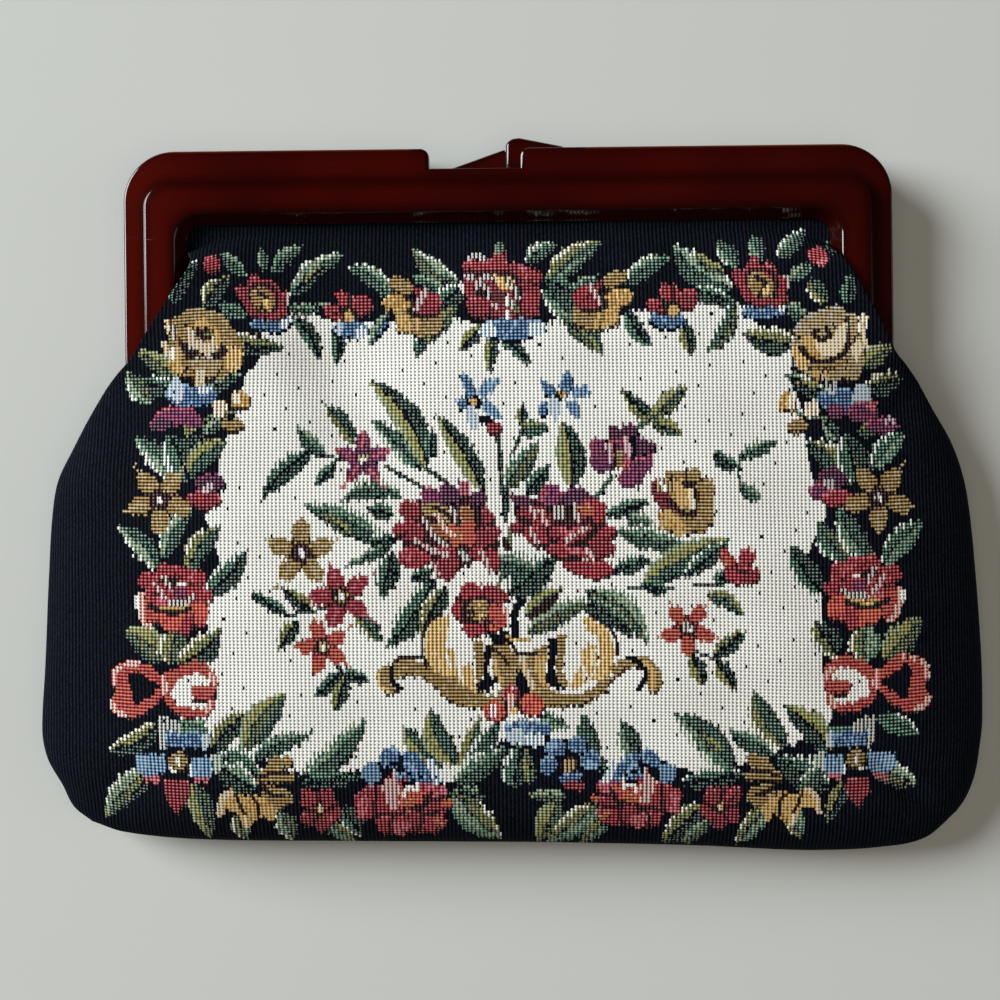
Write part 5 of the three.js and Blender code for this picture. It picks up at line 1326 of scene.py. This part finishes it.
# Flowers and bows in place: drawing, x, y, scale, mirrored
bows = [(bowLoops, 164, 688, 1, 1), (bowLoops, 877, 682, 1, -1)]
flowers = [
    (crimsonTop, 264, 296, 1, 1), (crimsonTop, 763, 281, 1.08, 1), (smallRed, 346, 305, 1, 1),
    (smallRed, 670, 298, 1.1, 1), (goldHalf, 411, 304, 1, 1), (goldHalf, 604, 298, 1, -1),
    (topRose, 0, 0, 1, 1), (yellowRose, 205, 339, 0.97, 1), (yellowRoseRight, 0, 0, 1, 1),
    (sideRose, 174, 598, 1, 1), (sideRose, 864, 591, 1.05, -1), (blueEye, 176, 757, 1, 1),
    (blueEye, 858, 755, 0.95, -1), (goldSpray, 256, 790, 1, 1), (goldSpray, 782, 788, 1, -1),
    (blueHalf, 404, 768, 1, 1), (blueHalf, 638, 768, 0.9, -1), (bottomRose, 404, 808, 1, 1),
    (bottomRose, 636, 803, 0.92, -1), (squareBloom, 320, 810, 1, 1), (squareBloom, 721, 807, 1, -1),
    (bouquetRose, 0, 0, 1, 1), (bouquetRoseRight, 0, 0, 1, 1), (magentaBloom, 622, 455, 1, 1),
    (goldBloom, 678, 500, 1, 1), (smallRose, 0, 0, 1, 1), (blueStars, 0, 0, 1, 1),
    (tulip, 740, 567, 1.05, 1), (coralTop, 513, 704, 1, 1),
]
specks = {
    "origin": (298.7, 387.5), "first": (22.4, 14.0), "second": (-12.0, 20.3),
    "halfWide": 1.05, "halfHigh": 1.7, "share": 0.75,
}


def addSpecks(chart, spec):
    # single dark stitches of the white field, on a slanting lattice
    (ax, ay), (bx, by) = spec["first"], spec["second"]
    p, q = chart.exact[0] - spec["origin"][0], chart.exact[1] - spec["origin"][1]
    area = ax * by - bx * ay
    i, j = np.round((p * by - q * bx) / area), np.round((q * ax - p * ay) / area)
    offX, offY = np.abs(p - i * ax - j * bx), np.abs(q - i * ay - j * by)
    close = (offX < spec["halfWide"]) & (offY < spec["halfHigh"])
    kept = (chart.yarn == yarnNumber["white"]) & (scatter(i, j, 5) < spec["share"])
    chart.lay(np.nonzero(close & kept)[0], "night")


def paintDesign(across, down):
    chart = Chart(across, down)
    x, y = chart.x, chart.y
    field = (x > along(fieldLeft, y)) & (x < along(fieldRight, y))
    field &= (y > along(fieldTop, x)) & (y < along(fieldBottom, x))
    chart.lay(np.nonzero(field)[0], "white")
    chart.draw(stems)
    for row in garlandLeaves + bouquetLeaves:
        chart.leaf(*row)
    for row in bows:
        chart.draw(*row)
    chart.draw(scrolls)
    chart.draw(patches)
    for row in stars:
        chart.star(*row)
    for row in flowers:
        chart.draw(*row)
    addSpecks(chart, specks)
    return chart.colours()


def runLength(points):
    # distance along a line of points, last axis xyz, second last axis the line
    steps = np.linalg.norm(np.diff(points, axis=-2), axis=-1)
    start = np.zeros(steps.shape[:-1] + (1,))
    return np.concatenate([start, np.cumsum(steps, axis=-1)], -1)


def stitchGrid(surface):
    # u and v of each crossing of the weave, with its distance across the cloth and the ends of each row
    fineV = np.linspace(0, 1, cloth["fineRows"])
    climb = runLength(surface(np.zeros_like(fineV), fineV))
    count = int(round(climb[-1] / cloth["rowPitch"]))
    v = np.interp(np.linspace(0, climb[-1], count + 1), climb, fineV)
    fineU = np.sin(np.linspace(-math.pi / 2, math.pi / 2, cloth["fineColumns"]))
    line = surface(np.broadcast_to(fineU, (len(v), len(fineU))), v[:, None])
    length = runLength(line)
    middle = np.array([np.interp(0, row[:, 0], run) for row, run in zip(line, length)])
    reachLeft, reachRight = middle.max(), (length[:, -1] - middle).max()
    pitch = cloth["columnPitch"]
    stops = np.arange(-math.ceil(reachLeft / pitch), math.ceil(reachRight / pitch) + 1) * pitch
    u = np.array([np.interp(stops + m, run, fineU) for m, run in zip(middle, length)])
    across = np.array([np.clip(stops, -m, run[-1] - m) for m, run in zip(middle, length)])
    first = np.array([np.searchsorted(stops, -m, side="right") - 1 for m in middle])
    last = np.array([np.searchsorted(stops, run[-1] - m, side="left") for m, run in zip(middle, length)])
    return u, v, across, np.clip(first, 0, None), np.clip(last, None, len(stops) - 1)


def edgeRing(grid, us, vs, low, high):
    # vertices round a panel, each with its place on the walk
    bottom = [((us[0, i] + 1) / 2, int(grid[0, i])) for i in range(low[0], high[0])]
    right = [(1 + vs[j], int(grid[j, high[j]])) for j in range(len(vs) - 1)]
    top = [(2 + (1 - us[-1, i]) / 2, int(grid[-1, i])) for i in range(high[-1], low[-1], -1)]
    leftSide = [(4 - vs[j], int(grid[j, low[j]])) for j in range(len(vs) - 1, 0, -1)]
    return bottom + right + top + leftSide


def stitchFaces(index):
    # a face for each stitch, three-cornered where a row ends, with the number of its stitch
    corners = np.stack([index[:-1, :-1], index[:-1, 1:], index[1:, 1:], index[1:, :-1]], -1).reshape(-1, 4)
    flatLow, flatHigh = corners[:, 0] == corners[:, 1], corners[:, 2] == corners[:, 3]
    kept = ~(flatLow & flatHigh)
    faces = []
    for quad, low, high in zip(corners[kept].tolist(), flatLow[kept].tolist(), flatHigh[kept].tolist()):
        if low:
            quad = [quad[0], quad[2], quad[3]]
        elif high:
            quad = quad[:3]
        faces.append(quad)
    return faces, np.arange(len(corners))[kept]


def innerSkin(surface, v, outward):
    # coarse skin one wall inside, level along the sewn edges
    rowsV = np.concatenate([v[0:len(v) - 1:cloth["innerStep"]], v[-1:]])
    columnsU = np.sin(np.linspace(-math.pi / 2, math.pi / 2, cloth["innerColumns"]))
    grid = np.broadcast_to(columnsU, (len(rowsV), len(columnsU)))
    skin = surface(grid, rowsV[:, None])
    normal = np.cross(np.gradient(skin, axis=1), np.gradient(skin, axis=0)) * outward
    sewn = np.zeros(skin.shape[:2], bool)
    sewn[0] = True
    sewn[:, [0, -1]] |= skin[:, [0, -1], 1] <= cloth["seamTop"] + cloth["sewnMargin"]
    normal[sewn, 2] = 0
    normal /= np.linalg.norm(normal, axis=-1, keepdims=True) + 1e-12
    return grid, rowsV, skin - normal * cloth["wall"]


def makePanel(name, surface, outward, paint):
    u, v, across, first, last = stitchGrid(surface)
    rows, columns = u.shape
    outer = surface(u, v[:, None])
    index = np.clip(np.arange(columns)[None, :], first[:, None], last[:, None])
    index = index + np.arange(rows)[:, None] * columns
    faces, stitch = stitchFaces(index)
    innerU, innerV, inner = innerSkin(surface, v, outward)
    innerIndex = np.arange(innerU.size).reshape(innerU.shape) + rows * columns
    quads = [innerIndex[:-1, :-1], innerIndex[1:, :-1], innerIndex[1:, 1:], innerIndex[:-1, 1:]]
    faces += np.stack(quads, -1).reshape(-1, 4).tolist()

    # rim between the two skins, walked round once
    outerRing = edgeRing(index, u, v, first, last)
    ends = np.zeros(len(innerV), int)
    innerRing = edgeRing(innerIndex, innerU, innerV, ends, ends + innerU.shape[1] - 1)
    outerAt = np.array([t for t, vertex in outerRing])
    near = [int(np.argmin(np.abs(outerAt - t))) for t, vertex in innerRing]
    for m in range(len(innerRing)):
        n = (m + 1) % len(innerRing)
        end = near[n] if n else len(outerRing)
        run = [outerRing[k % len(outerRing)][1] for k in range(near[m], end + 1)]
        faces.append([innerRing[m][1], innerRing[n][1]] + run[::-1])
    if outward < 0:
        faces = [face[::-1] for face in faces]

    mesh = bpy.data.meshes.new(name)
    places = np.concatenate([outer.reshape(-1, 3), inner.reshape(-1, 3)]) * mm
    used = np.unique(np.concatenate([np.array(f) for f in faces]))
    renumber = np.full(len(places), -1)
    renumber[used] = np.arange(len(used))
    mesh.from_pydata(places[used].tolist(), [], [renumber[f].tolist() for f in faces])
    piece = bpy.data.objects.new(name, mesh)
    bpy.context.collection.objects.link(piece)
    mesh.polygons.foreach_set("use_smooth", np.ones(len(mesh.polygons), bool))

    # weave coordinates, counted in cells, and the yarn and fleck colour of each stitch
    loopVertex = np.empty(len(mesh.loops), int)
    mesh.loops.foreach_get("vertex_index", loopVertex)
    blank = np.zeros(inner.size // 3)
    weaveU = np.concatenate([(across / cloth["columnPitch"] / 2).ravel(), blank])[used]
    weaveV = np.concatenate([np.repeat(np.arange(rows), columns), blank])[used]
    uv = mesh.uv_layers.new(name="weave")
    uv.data.foreach_set("uv", np.stack([weaveU, weaveV], -1)[loopVertex].astype(np.float32).ravel())
    totals = np.empty(len(mesh.polygons), int)
    mesh.polygons.foreach_get("loop_total", totals)
    for layer, colours in zip(("yarn", "fleck"), paint((outer[:-1, :-1] + outer[1:, 1:]) / 2)):
        faceColour = np.tile(np.array(weave["lining"]), (len(mesh.polygons), 1))
        faceColour[:len(stitch)] = colours.reshape(-1, 4)[stitch]
        attribute = mesh.color_attributes.new(layer, "FLOAT_COLOR", "CORNER")
        attribute.data.foreach_set("color", np.repeat(faceColour, totals, axis=0).astype(np.float32).ravel())
    print(name, sum(len(f) - 2 for f in faces), "triangles")
    return piece


# The chart is drawn as the finished bag is seen from straight above: middle in chart units, the rest in mm
chartView = {
    "middle": 500, "unit": 0.2724, "over": (-3.0, -1.5), "height": 446, "backHeight": 24,
    "turn": 0.66,  # degrees
}
weave = {  # spots as shares of a cell, depth in mm
    "dotWide": 0.36, "dotHigh": 0.28, "holeWide": 0.3, "holeHigh": 0.37, "holeDark": 0.81,
    "spotFade": (1.15, 0.5),
    "depth": 0.16, "bump": 0.6, "uneven": 0.2, "unevenScale": 1.3, "unevenDetail": 3, "unevenHeight": 0.5,
    "darkest": 0.012, "darkFill": 0.9, "ribDeep": 1.5, "ribGrain": (6.4, -2.2),
    "rough": 0.85, "shine": 0.04, "lining": (0.03, 0.03, 0.04, 0.05),
}


def designOn(side):
    # paints a panel's places with the design: side 1 is the front, -1 the back as seen from behind
    def paint(places):
        view = chartView
        x, y = places[..., 0] * side - view["over"][0], places[..., 1] - view["over"][1]
        z = places[..., 2] if side > 0 else view["backHeight"]
        unit = view["unit"] * (1 - z / view["height"])
        c, s = turned(view["turn"])
        return paintDesign(view["middle"] + (x * c - y * s) / unit, view["middle"] - (x * s + y * c) / unit)

    return paint


def makeTapestry(spec):
    fabric, tree, shader = newMaterial("tapestry")
    shader.inputs["Roughness"].default_value = spec["rough"]
    shader.inputs["Specular IOR Level"].default_value = spec["shine"]

    def fromMiddle(count):
        return calc(tree, "ABSOLUTE", calc(tree, "SUBTRACT", calc(tree, "FRACT", count), 0.5))

    def fromEdge(offset):
        return calc(tree, "SUBTRACT", 0.5, offset)

    def spot(across, up, wide, high):
        # 1 in the middle of a round spot, falling to 0 at its edge
        shares = calc(tree, "DIVIDE", across, wide), calc(tree, "DIVIDE", up, high)
        squares = [calc(tree, "POWER", share, 2) for share in shares]
        reach = calc(tree, "SQRT", calc(tree, "ADD", *squares))
        return remap(tree, reach, *spec["spotFade"], way="SMOOTHSTEP")

    place = addNode(tree, "UVMap", {}, uv_map="weave").outputs["UV"]
    cell = addNode(tree, "SeparateXYZ", {"Vector": place}).outputs
    across, up = fromMiddle(cell["X"]), fromMiddle(cell["Y"])
    gap = spot(fromEdge(across), fromEdge(up), spec["holeWide"], spec["holeHigh"])
    yarn = addNode(tree, "VertexColor", {}, layer_name="yarn").outputs
    fleck = addNode(tree, "VertexColor", {}, layer_name="fleck").outputs
    dot = spot(calc(tree, "DIVIDE", across, fleck["Alpha"]), up, spec["dotWide"], spec["dotHigh"])
    dotted = blend(tree, calc(tree, "MULTIPLY", dot, yarn["Alpha"]), yarn["Color"], fleck["Color"])
    uneven = speckle(tree, place, spec["unevenScale"], spec["unevenDetail"])
    light = calc(tree, "MULTIPLY_ADD", uneven, spec["uneven"] * 2, 1 - spec["uneven"])

    # the black ground is packed tight: upright ribs instead of holes
    grey = addNode(tree, "RGBToBW", {"Color": yarn["Color"]}).outputs["Val"]
    dark = remap(tree, grey, spec["darkest"], spec["darkest"] / 2)
    hole = calc(tree, "MULTIPLY", gap, calc(tree, "MULTIPLY_ADD", dark, -spec["darkFill"], 1))
    rib = calc(tree, "MULTIPLY", fromEdge(calc(tree, "MULTIPLY", across, 2)), dark)
    grain = calc(tree, "MULTIPLY", rib, calc(tree, "MULTIPLY_ADD", uneven, *spec["ribGrain"]))
    light = calc(tree, "MULTIPLY", light, calc(tree, "MULTIPLY_ADD", grain, spec["ribDeep"] * 2, 1))
    shade = calc(tree, "MULTIPLY", light, calc(tree, "MULTIPLY_ADD", hole, -spec["holeDark"], 1))
    tinted = addNode(tree, "VectorMath", {"Vector": dotted, "Scale": shade}, operation="SCALE")
    feed(tree, shader.inputs["Base Color"], tinted.outputs["Vector"])

    bead = calc(tree, "MULTIPLY", dot, calc(tree, "SUBTRACT", 1, dark))
    raised = calc(tree, "ADD", calc(tree, "MULTIPLY_ADD", uneven, spec["unevenHeight"], bead), rib)
    height = calc(tree, "SUBTRACT", raised, hole)
    feeds = {"Strength": spec["bump"], "Distance": spec["depth"] * mm, "Height": height}
    feed(tree, shader.inputs["Normal"], addNode(tree, "Bump", feeds).outputs["Normal"])
    return fabric


frontPanel = makePanel("tapestry_front_panel", frontSurface, 1, designOn(1))
backPanel = makePanel("tapestry_back_panel", backSurface, -1, designOn(-1))
tapestry = makeTapestry(weave)
panels = ((frontPanel, "tapestry_front", "front_frame"), (backPanel, "tapestry_back", "back_frame"))
for panel, node, holder in panels:
    panel.data.materials.append(tapestry)
    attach(panel, "root")
    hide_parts(node)
print("panels woven")
